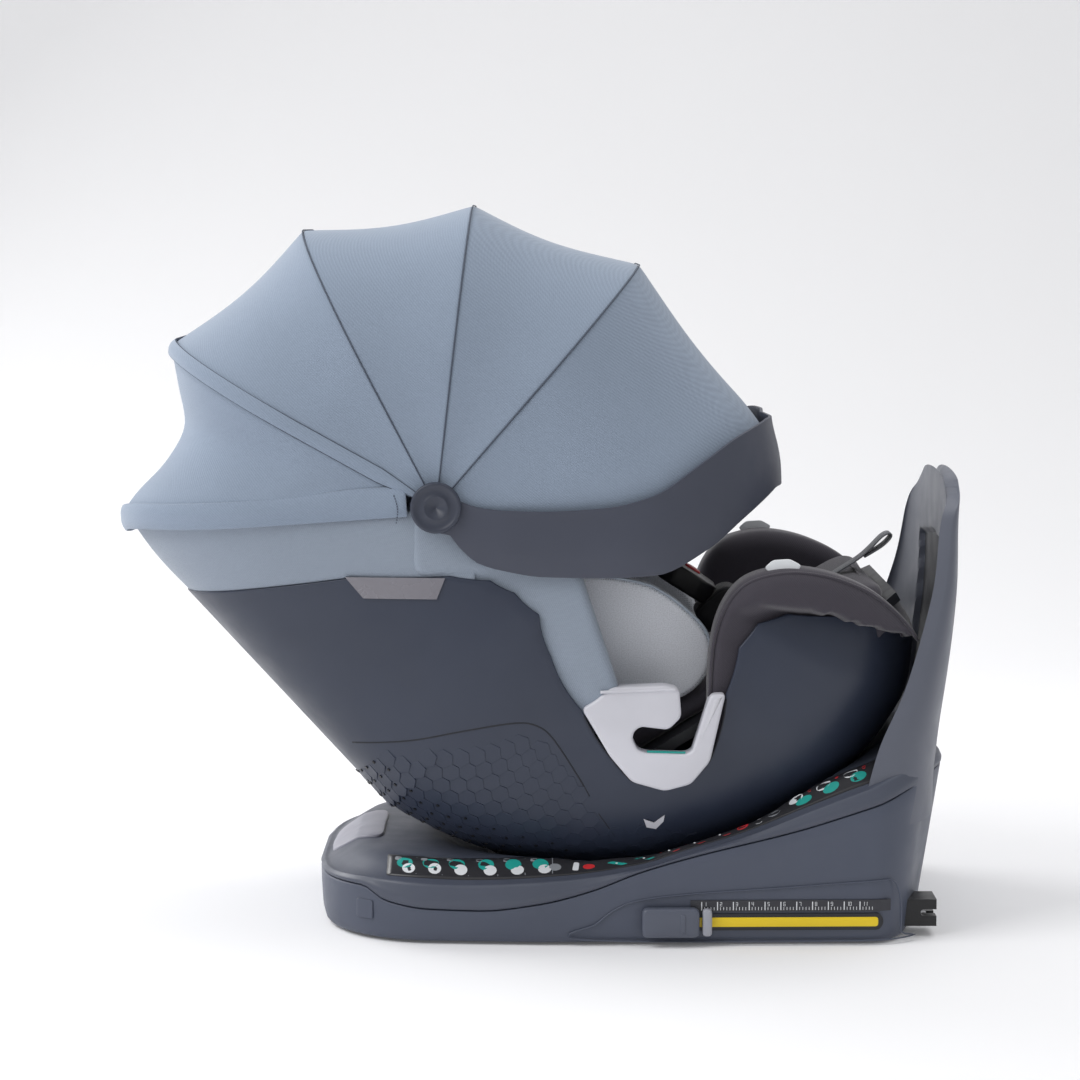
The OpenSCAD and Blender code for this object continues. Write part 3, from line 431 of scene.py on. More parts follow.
class Shader:
    """A material's node tree, with short names for the nodes used here."""

    def __init__(self, name, roughness, metallic=0.0, specular=0.5):
        self.material = bpy.data.materials.new(name)
        self.material.use_nodes = True
        self.tree = self.material.node_tree
        self.bsdf = self.tree.nodes["Principled BSDF"]
        self.bsdf.inputs["Roughness"].default_value = roughness
        self.bsdf.inputs["Metallic"].default_value = metallic
        self.bsdf.inputs["Specular IOR Level"].default_value = specular
        self.coords = self.tree.nodes.new("ShaderNodeTexCoord").outputs["Object"]

    def link(self, a, b):
        self.tree.links.new(a, b)

    def turned(self, angles):
        m = self.tree.nodes.new("ShaderNodeMapping")
        m.inputs["Rotation"].default_value = [math.radians(a) for a in angles]
        self.link(self.coords, m.inputs["Vector"])
        return m.outputs["Vector"]

    def noise(self, scale, detail=3.0, vector=None):
        n = self.tree.nodes.new("ShaderNodeTexNoise")
        n.inputs["Scale"].default_value = scale
        n.inputs["Detail"].default_value = detail
        self.link(vector or self.coords, n.inputs["Vector"])
        return n.outputs["Fac"]

    def waves(self, period, angles, distortion=0.0):
        """Bands that repeat every period millimetres."""
        w = self.tree.nodes.new("ShaderNodeTexWave")
        w.wave_type = "BANDS"
        w.bands_direction = "X"
        w.inputs["Scale"].default_value = math.pi / 10 / (period * MM)
        w.inputs["Distortion"].default_value = distortion
        w.inputs["Detail"].default_value = 1.0
        self.link(self.turned(angles), w.inputs["Vector"])
        return w.outputs["Fac"]

    def dots(self, pitch, size):
        """Round dots on an even lattice, 1 inside a dot."""
        v = self.tree.nodes.new("ShaderNodeTexVoronoi")
        v.inputs["Scale"].default_value = 1 / (pitch * MM)
        v.inputs["Randomness"].default_value = 0.0
        self.link(self.coords, v.inputs["Vector"])
        return self.ramp(v.outputs["Distance"], size, size + 0.12, 1.0, 0.0)

    def ramp(self, value, lo, hi, out_lo, out_hi):
        r = self.tree.nodes.new("ShaderNodeMapRange")
        r.inputs["From Min"].default_value = lo
        r.inputs["From Max"].default_value = hi
        r.inputs["To Min"].default_value = out_lo
        r.inputs["To Max"].default_value = out_hi
        self.link(value, r.inputs["Value"])
        return r.outputs["Result"]

    def math(self, kind, a, b):
        m = self.tree.nodes.new("ShaderNodeMath")
        m.operation = kind
        for socket, value in zip(m.inputs, (a, b)):
            if isinstance(value, (int, float)):
                socket.default_value = value
            else:
                self.link(value, socket)
        return m.outputs[0]

    def mix(self, factor, a, b):
        m = self.tree.nodes.new("ShaderNodeMix")
        m.data_type = "RGBA"
        self.link(factor, m.inputs["Factor"])
        for socket, value in ((m.inputs[6], a), (m.inputs[7], b)):
            if isinstance(value, tuple):
                socket.default_value = value
            else:
                self.link(value, socket)
        return m.outputs[2]

    def bump(self, height, distance):
        b = self.tree.nodes.new("ShaderNodeBump")
        b.inputs["Strength"].default_value = 1.0
        b.inputs["Distance"].default_value = distance * MM
        self.link(height, b.inputs["Height"])
        self.link(b.outputs["Normal"], self.bsdf.inputs["Normal"])

    def color(self, value):
        self.link(value, self.bsdf.inputs["Base Color"])

    def rough(self, value):
        self.link(value, self.bsdf.inputs["Roughness"])

    def sheen(self, weight):
        self.bsdf.inputs["Sheen Weight"].default_value = weight
        self.bsdf.inputs["Sheen Roughness"].default_value = 0.45
        self.bsdf.inputs["Sheen Tint"].default_value = (1, 1, 1, 1)


def plastic(name, color, roughness=0.45, grain=0.02, specular=0.5, coat=0.0):
    """Moulded plastic: fine spark-eroded grain, with faint changes of tone and gloss."""
    s = Shader(name, roughness, specular=specular)
    tone = s.noise(9, 4)
    s.color(s.mix(s.ramp(tone, 0.3, 0.7, 0, 1), shade(color, 0.93), shade(color, 1.06)))
    s.rough(s.ramp(s.noise(40, 5), 0.3, 0.7, roughness - 0.05, roughness + 0.06))
    s.bump(s.noise(1500, 2), grain)
    s.bsdf.inputs["Coat Weight"].default_value = coat
    return s.material


def knit(name, color, period=1.9, angles=(0, 52, 20), depth=0.16, contrast=0.1, sheen=0.25):
    """Heathered knit: fine slanting ribs crossed by finer rows, with fuzz."""
    s = Shader(name, 0.86, specular=0.25)
    ribs = s.waves(period, angles, 1.2)
    rows = s.waves(period * 0.62, (angles[0] + 70, angles[1] - 75, 40), 0.8)
    weave = s.math("ADD", s.math("MULTIPLY", ribs, 0.65), s.math("MULTIPLY", rows, 0.35))
    heather = s.noise(700, 4)
    broad = s.noise(14, 3)
    base = s.mix(weave, shade(color, 1 - contrast), shade(color, 1 + contrast * 0.7))
    base = s.mix(s.ramp(heather, 0.42, 0.62, 0, 0.22), base, shade(color, 0.7))
    s.color(s.mix(s.ramp(broad, 0.35, 0.7, 0, 0.25), base, shade(color, 1.1)))
    s.bump(s.math("ADD", weave, s.math("MULTIPLY", heather, 0.5)), depth)
    s.sheen(sheen)
    return s.material


def mesh_knit(name, color, hole_shade, pitch=2.2, size=0.22, depth=0.25):
    """Spacer knit with a lattice of small holes, coloured darker: painted shade inside the holes."""
    s = Shader(name, 0.85, specular=0.25)
    shaded_holes = s.dots(pitch, size)
    heather = s.noise(900, 4)
    base = s.mix(s.ramp(heather, 0.35, 0.65, 0, 1), shade(color, 0.88), shade(color, 1.08))
    s.color(s.mix(shaded_holes, base, hole_shade))
    s.bump(s.math("SUBTRACT", s.math("MULTIPLY", heather, 0.4), shaded_holes), depth)
    s.sheen(0.2)
    return s.material


def webbing(name, color):
    """Woven strap: close ribs along it, crossed by threads."""
    s = Shader(name, 0.6, specular=0.3)
    weave = s.math("MULTIPLY", s.waves(1.6, (0, 0, 90)), s.waves(1.1, (0, 40, 0)))
    s.color(s.mix(weave, shade(color, 0.7), shade(color, 1.25)))
    s.bump(weave, 0.3)
    s.sheen(0.15)
    return s.material


def steel(name, color, roughness=0.3):
    """Brushed steel."""
    s = Shader(name, roughness, metallic=1.0)
    brushed = s.noise(900, 2, s.turned((0, 15, 0)))
    s.color(s.mix(brushed, shade(color, 0.85), shade(color, 1.1)))
    s.rough(s.ramp(s.noise(60, 4), 0.3, 0.7, roughness - 0.06, roughness + 0.12))
    s.bump(brushed, 0.01)
    return s.material


GREY_CLOTH = linear(138, 151, 169)
canopy_knit = knit("canopy_knit", GREY_CLOTH, 1.9, (0, 52, 20))
side_knit = knit("side_knit", linear(142, 152, 166), 1.7, (0, 25, 10), 0.16, 0.09)
dark_knit = knit("dark_knit", linear(68, 65, 73), 1.5, (0, 40, 15), 0.14, 0.12, 0.3)
# the second colour is the painted shade inside the insert knit's holes
insert_knit = mesh_knit("insert_knit", linear(228, 231, 238), linear(170, 174, 182))
strap_web = webbing("strap_web", linear(38, 38, 42))
loop_web = webbing("loop_web", linear(120, 122, 128))
thread = plastic("thread", linear(74, 82, 96), 0.8, 0.05)
light_thread = plastic("light_thread", linear(168, 178, 190), 0.8, 0.05)
shell_plastic = plastic("shell_plastic", linear(44, 51, 68), 0.42)
visor_plastic = plastic("visor_plastic", linear(64, 68, 82), 0.5, 0.03)
base_plastic = plastic("base_plastic", linear(74, 80, 96), 0.46)
cover_plastic = plastic("cover_plastic", linear(74, 79, 93), 0.44)
bar_plastic = plastic("bar_plastic", linear(94, 98, 110), 0.45)
# dark colour of the sheet in the rebound bar's pocket: painted shade
pocket_shade_plastic = plastic("pocket_shade_plastic", linear(32, 35, 43), 0.55)
dark_plastic = plastic("dark_plastic", linear(36, 37, 42), 0.5)
black_plastic = plastic("black_plastic", linear(22, 22, 25), 0.4)
light_plastic = plastic("light_plastic", linear(206, 206, 214), 0.38, 0.012)
pad_plastic = plastic("pad_plastic", linear(150, 150, 162), 0.4)
knob_plastic = plastic("knob_plastic", linear(86, 91, 105), 0.4)
knob_end = plastic("knob_end", linear(158, 160, 170), 0.42)
badge_plastic = plastic("badge_plastic", linear(112, 110, 118), 0.25, 0.01, 0.7, 0.3)
cap_plastic = plastic("cap_plastic", linear(50, 55, 69), 0.42)
# dark colour of the shell's creases and the belt guides' grooves: painted shade
crease_shade_plastic = plastic("crease_shade_plastic", linear(30, 32, 40), 0.7)
label_film = plastic("label_film", linear(44, 44, 48), 0.35, 0.004)
ruler_film = plastic("ruler_film", linear(46, 47, 54), 0.4, 0.004)
teal_print = plastic("teal_print", linear(30, 160, 150), 0.4, 0.004)
white_print = plastic("white_print", linear(225, 228, 232), 0.4, 0.004)
grey_print = plastic("grey_print", linear(140, 144, 150), 0.4, 0.004)
red_print = plastic("red_print", linear(205, 44, 50), 0.4, 0.004)
yellow_film = plastic("yellow_film", linear(238, 205, 24), 0.35, 0.004)
rubber = plastic("rubber_grain", linear(20, 20, 21), 0.8, 0.05)
frame_steel = steel("frame_steel", linear(150, 152, 156))
dark_steel = steel("dark_steel", linear(80, 82, 88), 0.4)
green_plastic = plastic("green_plastic", linear(40, 120, 70), 0.45)


def paint(material, *nodes):
    """Gives carried-over CAD nodes a material."""
    for name in nodes:
        mesh = frame["nodes"][name].data
        mesh.materials.clear()
        mesh.materials.append(material)


# ---------- camera, light and floor ----------
CAMERA_TARGET = Vector((-0.0585, 0.0, 0.366))
CAMERA_DISTANCE = 3.0
CAMERA_ELEVATION = math.radians(6)
LIGHT_TARGET = Vector((0, 0, 0.35))
# name, place in metres, size in metres, power in watts
LIGHTS = [
    ("key", (-2.0, -1.2, 2.4), 1.8, 46),
    ("rim", (-2.2, 1.4, 1.6), 1.6, 40),
    ("top", (0.9, 0.3, 2.6), 2.0, 22),
]


def make_camera():
    """Long lens at the -Y side, a little above the seat."""
    camera = bpy.data.cameras.new("camera")
    camera.lens = 100
    camera.sensor_width = 36
    camera.clip_end = 50
    holder = bpy.data.objects.new("camera", camera)
    away = Vector((0, -math.cos(CAMERA_ELEVATION), math.sin(CAMERA_ELEVATION)))
    holder.location = CAMERA_TARGET + away * CAMERA_DISTANCE
    holder.rotation_euler = (CAMERA_TARGET - holder.location).to_track_quat("-Z", "Y").to_euler()
    bpy.context.scene.collection.objects.link(holder)
    bpy.context.scene.camera = holder


def make_floor():
    """White floor that bends up into a wall behind the seat."""
    s = Shader("floor_paint", 0.7, specular=0.15)
    s.color(s.mix(s.noise(0.8, 2), linear(244, 244, 246), linear(249, 249, 251)))
    s.bsdf.inputs["Emission Color"].default_value = (1, 1, 1, 1)
    s.bsdf.inputs["Emission Strength"].default_value = 0.06
    bend_at, bend_r = 1500, 2500
    profile = [(-7000, 0), (bend_at, 0)]
    for k in np.linspace(0.05, math.pi / 2, 24):
        profile.append((bend_at + bend_r * math.sin(k), bend_r - bend_r * math.cos(k)))
    profile.append((bend_at + bend_r, 9000))
    floor = grid_object("floor", [[(x, y, z) for y, z in profile] for x in (-9000, 9000)], s.material)


def make_stage():
    """Camera, floor, white surroundings and three soft lights."""
    make_camera()
    make_floor()
    world = bpy.data.worlds.new("studio")
    world.use_nodes = True
    world.node_tree.nodes["Background"].inputs["Color"].default_value = (1, 1, 1, 1)
    world.node_tree.nodes["Background"].inputs["Strength"].default_value = 0.5
    bpy.context.scene.world = world
    bpy.context.scene.view_settings.view_transform = "Standard"
    for light in LIGHTS:
        add_light(*light)


def add_light(name, place, size, power):
    """A soft square light that points at the seat."""
    light = bpy.data.lights.new(name, "AREA")
    light.size = size
    light.energy = power
    holder = bpy.data.objects.new(name, light)
    holder.location = place
    holder.rotation_euler = (LIGHT_TARGET - Vector(place)).to_track_quat("-Z", "Y").to_euler()
    bpy.context.scene.collection.objects.link(holder)


# ---------- seat shell ----------
def make_shell():
    """The moulded shell, cut along its upper edge."""
    stops = []
    for (a, r), (b, q) in zip(EDGE[:-1], EDGE[1:]):
        n = max(2, math.ceil((b - a) / 1.6), math.ceil(abs(q - r) / 9))
        stops += list(np.linspace(a, b, n, endpoint=False))
    stops.append(FOOT_A)
    rows = []
    for a in stops:
        t0 = edge_t(a)
        rows.append(shell_point(a, np.linspace(t0, 180 - t0, 96)))
    shell = grid_object("shell", rows, shell_plastic)
    thicken(shell, 4)
    soften(shell, 1.2, 2, 50)
    finish_piece(shell, "seat", "shell_plastic", ["seat_shell"])


def on_side(points, s, lift):
    """Side-view points laid on the shell's side, lift millimetres proud of it."""
    return np.array([[x, s * (side_y(x, z) + lift), z] for x, z in points])


def make_shell_lines():
    """Creases moulded in the shell's sides, drawn as dark tubes: painted shade in the creases."""
    crease = [
        [-238, 186], [-181, 194], [-133, 205], [-84, 214], [-62, 212], [-46, 199], [-22, 161], [-12, 142],
    ]
    lower = [[-3, 124], [6, 110], [15, 95], [24, 78]]
    for s, side in SIDES:
        parts = [tube("crease", on_side(spline(crease, 60), s, -0.35), 0.9, crease_shade_plastic),
                 tube("crease_low", on_side(spline(lower, 30), s, -0.5), 0.7, crease_shade_plastic)]
        finish_piece(join(f"shell_crease_shade_{side}", parts), "seat", "shell_plastic")


def hexagon_tile(a, t, size, lift, tilt):
    """Rings of one six-sided facet on the shell, leaning a little towards the floor."""
    centre = shell_point(a, t)
    da = shell_point(a + 0.5, t) - shell_point(a - 0.5, t)
    dt = shell_point(a, t + 0.5) - shell_point(a, t - 0.5)
    u = da / np.linalg.norm(da)
    v = dt - u * np.dot(dt, u)
    v /= np.linalg.norm(v)
    n = np.cross(u, v)
    if np.dot(n, centre - PIVOT) < 0:
        n = -n
    rings = []
    for k, h in ((1.0, -0.7), (0.99, lift * 0.5), (0.93, lift)):
        ring = []
        for i in range(6):
            c, q = math.cos(math.radians(60 * i)), math.sin(math.radians(60 * i))
            ring.append(centre + size * k * (u * c + v * q) + n * (h + (tilt * c if h > 0 else 0)))
        rings.append(ring)
    return rings


def add_tile(verts, faces, rings):
    """Adds a tile's rings and faces to the lists."""
    start = len(verts)
    verts += [p for ring in rings for p in ring]
    for low in (start, start + 6):
        for m in range(6):
            q = (m + 1) % 6
            faces.append((low + m, low + q, low + 6 + q, low + 6 + m))
    faces.append(tuple(start + 12 + m for m in range(6)))


def make_honeycomb():
    """Facets of the vented lower back, fading out towards the front and the sides; small black hexagons on
    it are painted shade of the vent holes.
    """
    size = 11.0
    step = size * 1.5
    verts, faces, shaded_holes, hole_shade_faces = [], [], [], []
    angles = np.arange(46, 132, math.degrees(step / 342))
    for i, a in enumerate(angles):
        for j in range(-14, 15):
            reach = (j + 0.5 * (i % 2)) * size * math.sqrt(3)
            t = side_angle(a, reach)
            if t is None:
                continue
            fade = 1 - smoothstep(62, 126, a + abs(reach) * 0.06)
            if fade < 0.05:
                continue
            add_tile(verts, faces, hexagon_tile(a, t, size * 0.97, 0.2 + 0.15 * fade, 0.5 * fade))
            if fade > 0.5 and abs(reach) < 170:
                # a small black hexagon at each vent hole: painted shade inside the hole
                add_tile(shaded_holes, hole_shade_faces, hexagon_tile(a - 0.9, t, 1.7, 1.2 * fade, 0))
    tiles = add_mesh("vent_facets", verts, faces, shell_plastic, smooth=False)
    finish_piece(tiles, "seat", "shell_plastic")
    dots = add_mesh("vent_hole_shade", shaded_holes, hole_shade_faces, black_plastic, smooth=False)
    finish_piece(dots, "seat", "dark_plastic")


# the facets stop below this line of the side view: x and z
FACET_TOP = [
    [-260, 170], [-238, 172], [-181, 180], [-133, 190], [-84, 198], [-46, 184], [-22, 146], [0, 104],
]


def side_angle(a, reach):
    """Section angle at a distance round the shell's section from its middle, or None past the crease."""
    t = np.linspace(90, 20, 141)
    p = shell_point(a, t)
    s = np.concatenate([[0], np.cumsum(np.linalg.norm(np.diff(p, axis=0), axis=1))])
    at = float(np.interp(abs(reach), s, t))
    x, _, z = shell_point(a, at)
    if at < 24 or z > lookup(x, FACET_TOP):
        return None
    return at if reach < 0 else 180 - at


# ---------- belt guides and trims ----------
def guide_outline():
    """The belt guide follows the shell's edge outside and its own line inside."""
    edge = [polar_mm(a, r - 1.5) for a, r in EDGE if 83 <= a <= 129]
    return rounded(np.vstack([edge, GUIDE_INNER]), 5, 6)


def side_place(s):
    """Places side-view points relative to the pivot at |y| = w, on side s."""
    return lambda u, v, w: (u, s * w, v + PIVOT[2])


def make_guides():
    """Light belt guides at the shell's edge, each with a lip and a groove round it; the groove is a dark
    tube of painted shade.
    """
    outline = guide_outline()
    for s, side in SIDES:
        guide = slab(f"belt_guide_{side}", outline, HALF_W - 24, HALF_W - 1.6, side_place(s), light_plastic,
                     1.5, 3.2, steps=6)
        finish_piece(guide, "seat", "light_plastic", ["belt_guides"])
        lip_line = spline([[-2, -141], [10, -140.5], [40, -139.5], [60, -138.5], [69, -139]], 30)
        lip_path = [(x, s * (HALF_W - 1.8), z + PIVOT[2]) for x, z in lip_line]
        lip = tube(f"guide_lip_{side}", lip_path, 1.5, light_plastic)
        finish_piece(lip, "seat", "light_plastic")
        # the dark groove tube round each guide is painted shade
        angles = np.linspace(84, 128, 60)
        edge = [polar_mm(a, r + 0.6) + [0, PIVOT[2]] for a, r in zip(angles, lookup(angles, EDGE))]
        groove = tube(f"guide_groove_shade_{side}", on_side(edge, s, -1.0), 1.1, crease_shade_plastic)
        finish_piece(groove, "seat", "shell_plastic")


def polar_mm(a, r):
    """Side-view point relative to the pivot, at angle a and radius r."""
    return np.array([-r * math.cos(math.radians(a)), -r * math.sin(math.radians(a))])


# ---------- upholstery over the shell ----------
COVER_INSET = 1.6    # the cover's lower edge lies this far inside the shell's surface


def edge_curve(n, drop):
    """The shell's upper edge from the belt guide round the head end to its twin, drop below the rim."""
    a = np.concatenate([np.linspace(80, 19, 40), np.linspace(18, 12.7, 10), np.linspace(12.2, HEAD_A, 8)])
    t = edge_t(a, drop)
    near = np.array([shell_point(x, y, COVER_INSET) for x, y in zip(a, t)])
    last = float(t[-1])
    back = np.array([shell_point(HEAD_A, y, COVER_INSET) for y in np.linspace(last, 90, 60)[1:]])
    half = np.vstack([near, back])
    far = half[:-1][::-1] * [1, -1, 1]
    return resample(np.vstack([half, far]), n)


def hem_bow(n):
    """How far the hem lies above its straight line, round the head end."""
    share = np.abs(np.linspace(-1, 1, n))
    return 6.0 * smoothstep(0.05, 0.4, share) - 6.0 * (1 - smoothstep(0, 0.3, share))


def bow_section(length, corner, y, start, n):
    """Reach and y from the -Y hub round to the +Y hub: straight legs, round corners, straight top."""
    leg = length - corner
    straight = np.array([[d, -y] for d in np.linspace(start, leg, 30)])
    arc = np.array([[leg + corner * math.sin(k), -(y - corner) - corner * math.cos(k)]
                    for k in np.linspace(0, math.pi / 2, 40)[1:]])
    half = np.vstack([straight, arc, [[length, 0]]])
    return resample(np.vstack([half, half[:-1][::-1] * [1, -1]]), n)


def hem_path(n, off, lift, start, back):
    """The hood's rear hem, from the -Y hub round the head end to the +Y hub, lift above its middle."""
    flat = bow_section(BOW_LEN[0] + off + back, BOW_CORNER + off, BOW_Y - 2 + off, start, n)
    tilt = math.radians(BOW_ANGLE[0])
    lift = np.broadcast_to(lift, n) + hem_bow(n)
    x = HUB[0] - flat[:, 0] * math.cos(tilt) + lift * math.sin(tilt)
    z = HUB[2] + flat[:, 0] * math.sin(tilt) + lift * math.cos(tilt)
    return np.stack([x, flat[:, 1], z], 1)


def make_side_cover():
    """Fabric between the shell's edge and the hood's hem, round the head end."""
    n, rows = 161, 22
    low = edge_curve(900, 4.0)
    low = resample(low[low[:, 0] < -118], n)
    high = hem_path(n, -2.0, -8.0, start=-37.0, back=-5.0)
    from_ends = 1 - np.abs(np.linspace(-1, 1, n))
    points = []
    for i in range(rows):
        u = i / (rows - 1)
        row = low * (1 - u) + high * u
        belly = (3.5 * math.sin(math.pi * u) * smoothstep(0, 0.16, from_ends))[:, None]
        out = row * [1, 1, 0] - [HUB[0] - 60, 0, 0]
        out /= np.linalg.norm(out, axis=1, keepdims=True)
        points.append(row + out * belly)
    cover = grid_object("head_cover", points, side_knit)
    thicken(cover, 2.4)
    subdivide(cover)
    finish_piece(cover, "seat", "grey_fabric")


def shell_limit(x, y, z, margin=5.0):
    """Keeps |y| inside the shell's wall where the point lies below its edge."""
    inside = side_y(x, z, margin)
    r = math.hypot(x, z - PIVOT[2])
    a = math.degrees(math.atan2(PIVOT[2] - z, -x))
    if a < -90 or abs(y) < inside:
        return y
    above = float(lookup(a, EDGE)) - r
    free = 1.0 if a < HEAD_A or a > FOOT_A else float(smoothstep(3, 38, above))
    return math.copysign(inside + (abs(y) - inside) * free, y)


def pillow_place(s, margin=5.0):
    """Places side-view points of a soft side piece on side s, kept inside the shell's wall."""
    def place(u, v, w):
        z = v + PIVOT[2]
        return (u, shell_limit(u, s * w, z, margin), z)
    return place


FINE = tuple(np.linspace(0.94, 0.06, 14))    # close inner rings, for a face that bends over the shell
WING_OUTLINE = [
    [-176, 26], [-140, 36], [-96, 34], [-52, 14], [-24, -22], [-12, -54], [-2, -84], [10, -120], [17, -146],
    [12, -154], [-4, -160], [-20, -168], [-44, -140], [-70, -90], [-96, -64], [-124, -50], [-150, -44],
    [-176, -28],
]
WING_INNER = [
    [-290, -40], [-290, -4], [-250, 18], [-180, 34], [-100, 28], [-50, 0], [-26, -34], [-8, -84], [4, -124],
    [8, -150], [4, -172], [-30, -202], [-90, -170], [-200, -110],
]


def make_wings():
    """Grey fabric sides, outside and inside."""
    for s, side in SIDES:
        outline = spline(WING_OUTLINE, 120, True)
        outer = slab(f"wing_{side}", outline, 168, 206, pillow_place(s, 4.6), side_knit,
                     8, 9, steps=6, inner=FINE)
        outline = spline(WING_INNER, 120, True)
        inner = slab(f"wing_inner_{side}", outline, 184, 148, pillow_place(s, 12), side_knit,
                     10, 18, 5, steps=7, inner=FINE)
        finish_pad(outer, "seat", "grey_fabric", ["wing_covers"])
        finish_pad(inner, "seat", "grey_fabric", ["wing_covers"])


BOLSTER_OUTLINE = [
    [99, -142], [102, -96], [110, -66], [124, -44], [142, -32], [171, -26], [200, -28], [228, -36],
    [256, -50], [282, -72], [302, -98], [300, -118], [270, -130], [200, -160], [150, -180], [104, -196],
]

BOLSTER_IN, BOLSTER_OUT = 146, 204    # |y| of its inner and outer faces where it is widest


def bolster_y(x):
    """|y| of the thigh bolster's outer face: the seat narrows towards the foot end."""
    return smooth_lookup(x, [[90, 204], [150, 203], [200, 198], [250, 184], [300, 158], [340, 120]])


def make_bolsters():
    """Dark thigh bolsters with a piped edge."""
    for s, side in SIDES:

        def place(u, v, w, s=s):
            share = (w - BOLSTER_IN) / (BOLSTER_OUT - BOLSTER_IN)
            y = BOLSTER_IN * (1 - share) + float(bolster_y(u)) * share
            y = min(y, float(bolster_y(u)))
            z = v + PIVOT[2]
            return (u, shell_limit(u, s * y, z, 6), z)

        outline = spline(BOLSTER_OUTLINE, 110, True)
        pad = slab(f"thigh_bolster_{side}", outline, BOLSTER_IN, BOLSTER_OUT, place, dark_knit,
                   20, 17, steps=7, inner=FINE)
        finish_pad(pad, "seat", "seat_fabric", ["thigh_bolsters"])
        rim = BOLSTER_OUTLINE[:11]
        path = spline([[x + 1.5, z - 4.5] for x, z in rim], 70)
        piping = tube(f"bolster_piping_{side}", [place(x, z, 198) for x, z in path], 1.5, dark_knit)
        finish_piece(piping, "seat", "seat_fabric")


# ---------- cushions ----------
def along(direction):
    """Places (s, n, y): s along the cushion from the hip, n out of its face, y across."""
    c, q = math.cos(math.radians(direction)), math.sin(math.radians(direction))

    def place(s, n, y):
        x = HIP[0] + s * c - n * q
        z = HIP[1] + s * q + n * c
        return (x, y, z + PIVOT[2])
    return place


seat_place = along(SEAT_DIR)


def back_place(s, n, y):
    """Places (s, n, y): s up the backrest from the hip, n out of its face, y across."""
    return along(BACK_DIR)(s, -n, y)


def cushion(name, place, s0, s1, n0, n1, half, material, crown=6.0, corner=26.0, edge=9.0, shift=0.0):
    """A crowned cushion on a slab of the seat, with rounded corners and pulled-in sides."""
    w = half
    box = [[s0, -w], [s1, -w], [s1, w], [s0, w]]
    outline = resample(rounded(box, corner, 8), 96, True)
    middle = np.array([(s0 + s1) / 2, 0])
    reach = np.abs((outline - middle) / [(s1 - s0) / 2, w])
    pull = 2.5 * (1 - np.minimum(reach[:, 0], reach[:, 1]))
    outline = outline - normals_2d(outline) * pull[:, None]
    return slab(name, outline, n0, n1, lambda u, v, t: place(u, t, v + shift), material, 2.5, edge, crown,
                steps=6, inner=(0.9, 0.75, 0.55, 0.3, 0.1))


def channel_lines(name, place, lines, n, material, body, slot):
    """Thin sewn lines on a cushion's face: each line is a list of (s, y)."""
    parts = []
    for k, line in enumerate(lines):
        path = [place(a, n, b) for a, b in spline(line, 40)]
        parts.append(tube(f"{name}_{k}", path, 0.9, material, flat=0.6))
    finish_piece(join(name, parts), body, slot)


def make_cushions():
    """Backrest, seat and headrest cushions, and the headrest's ears."""
    back = cushion("backrest_pad", back_place, 22, 414, 1.5, 22, 143, side_knit, 5)
    seat = cushion("seat_pad", seat_place, 22, 340, 1.5, 21, 143, dark_knit, 6)
    head = cushion("headrest_pad", back_place, 237, 400, 41, 58, 116, side_knit, 5, 34)
    for pad, node, slot, body in ((back, "backrest_cushion", "grey_fabric", "seat"),
                                  (seat, "seat_cushion", "seat_fabric", "seat"),
                                  (head, "headrest_cushion", "grey_fabric", "headrest")):
        inflate(pad, cap=5)
        finish_pad(pad, body, slot, [node])
    for s, side in SIDES:
        ear = cushion(f"headrest_ear_{side}", back_place, 248, 386, 60, 112, 15, side_knit,
                      crown=4, corner=12, edge=10, shift=s * 102)
        finish_pad(ear, "headrest", "grey_fabric")
    lines = [[[60, y], [180, y * 1.05], [225, y * 1.08]] for y in (-72, 72)]
    channel_lines("seat_channels", seat_place, lines, 28.5, dark_plastic, "seat", "seat_fabric")


INSERT_OUTLINE = [
    [-140, -74], [-60, -46], [-12, -38], [38, -45], [60, -55], [78, -68], [98, -88], [107, -112], [98, -140],
    [70, -160], [0, -180], [-60, -172], [-120, -120],
]


def make_insert():
    """Light infant insert: two wings, a back and a seat pad."""
    for s, side in SIDES:
        wing = slab(f"insert_wing_{side}", spline(INSERT_OUTLINE, 100, True), 144.5, 116, pillow_place(s),
                    insert_knit, 7, 9, 3, steps=6)
        finish_pad(wing, "seat", "insert_fabric", ["infant_insert"])
        top = spline([[-60, -47], [-12, -39], [38, -46], [60, -56], [78, -69], [98, -89], [106, -110]], 60)
        path = [(x, s * 143, z + PIVOT[2] + 0.4) for x, z in top]
        seam = tube(f"insert_seam_{side}", path, 1.3, light_thread)
        finish_piece(seam, "seat", "insert_fabric")
    back = cushion("insert_back", back_place, 40, 212, 29.5, 36, 110, insert_knit, 3, 24, 3)
    seat = cushion("insert_seat", seat_place, 40, 120, 29.5, 36, 110, insert_knit, 3, 24, 3)
    for pad in (back, seat):
        finish_pad(pad, "seat", "insert_fabric")


# ---------- harness ----------
def band(name, path, width, thickness, material):
    """Flat webbing: path is a list of points, and it is width wide along Y."""
    p = np.array(path, float)
    t = np.gradient(p, axis=0)
    t /= np.linalg.norm(t, axis=1, keepdims=True)
    n = np.cross(t, [0, 1, 0])
    h, w = thickness / 2, width / 2
    section = [(-w, -h * 0.4), (-w + 0.8, -h), (w - 0.8, -h), (w, -h * 0.4), (w, h * 0.4), (w - 0.8, h),
               (-w + 0.8, h), (-w, h * 0.4)]
    rings = [[q + np.array([0, a, 0]) + m * b for a, b in section] for q, m in zip(p, n)]
    return grid_object(name, rings, material, wrap_cols=True, caps=True)


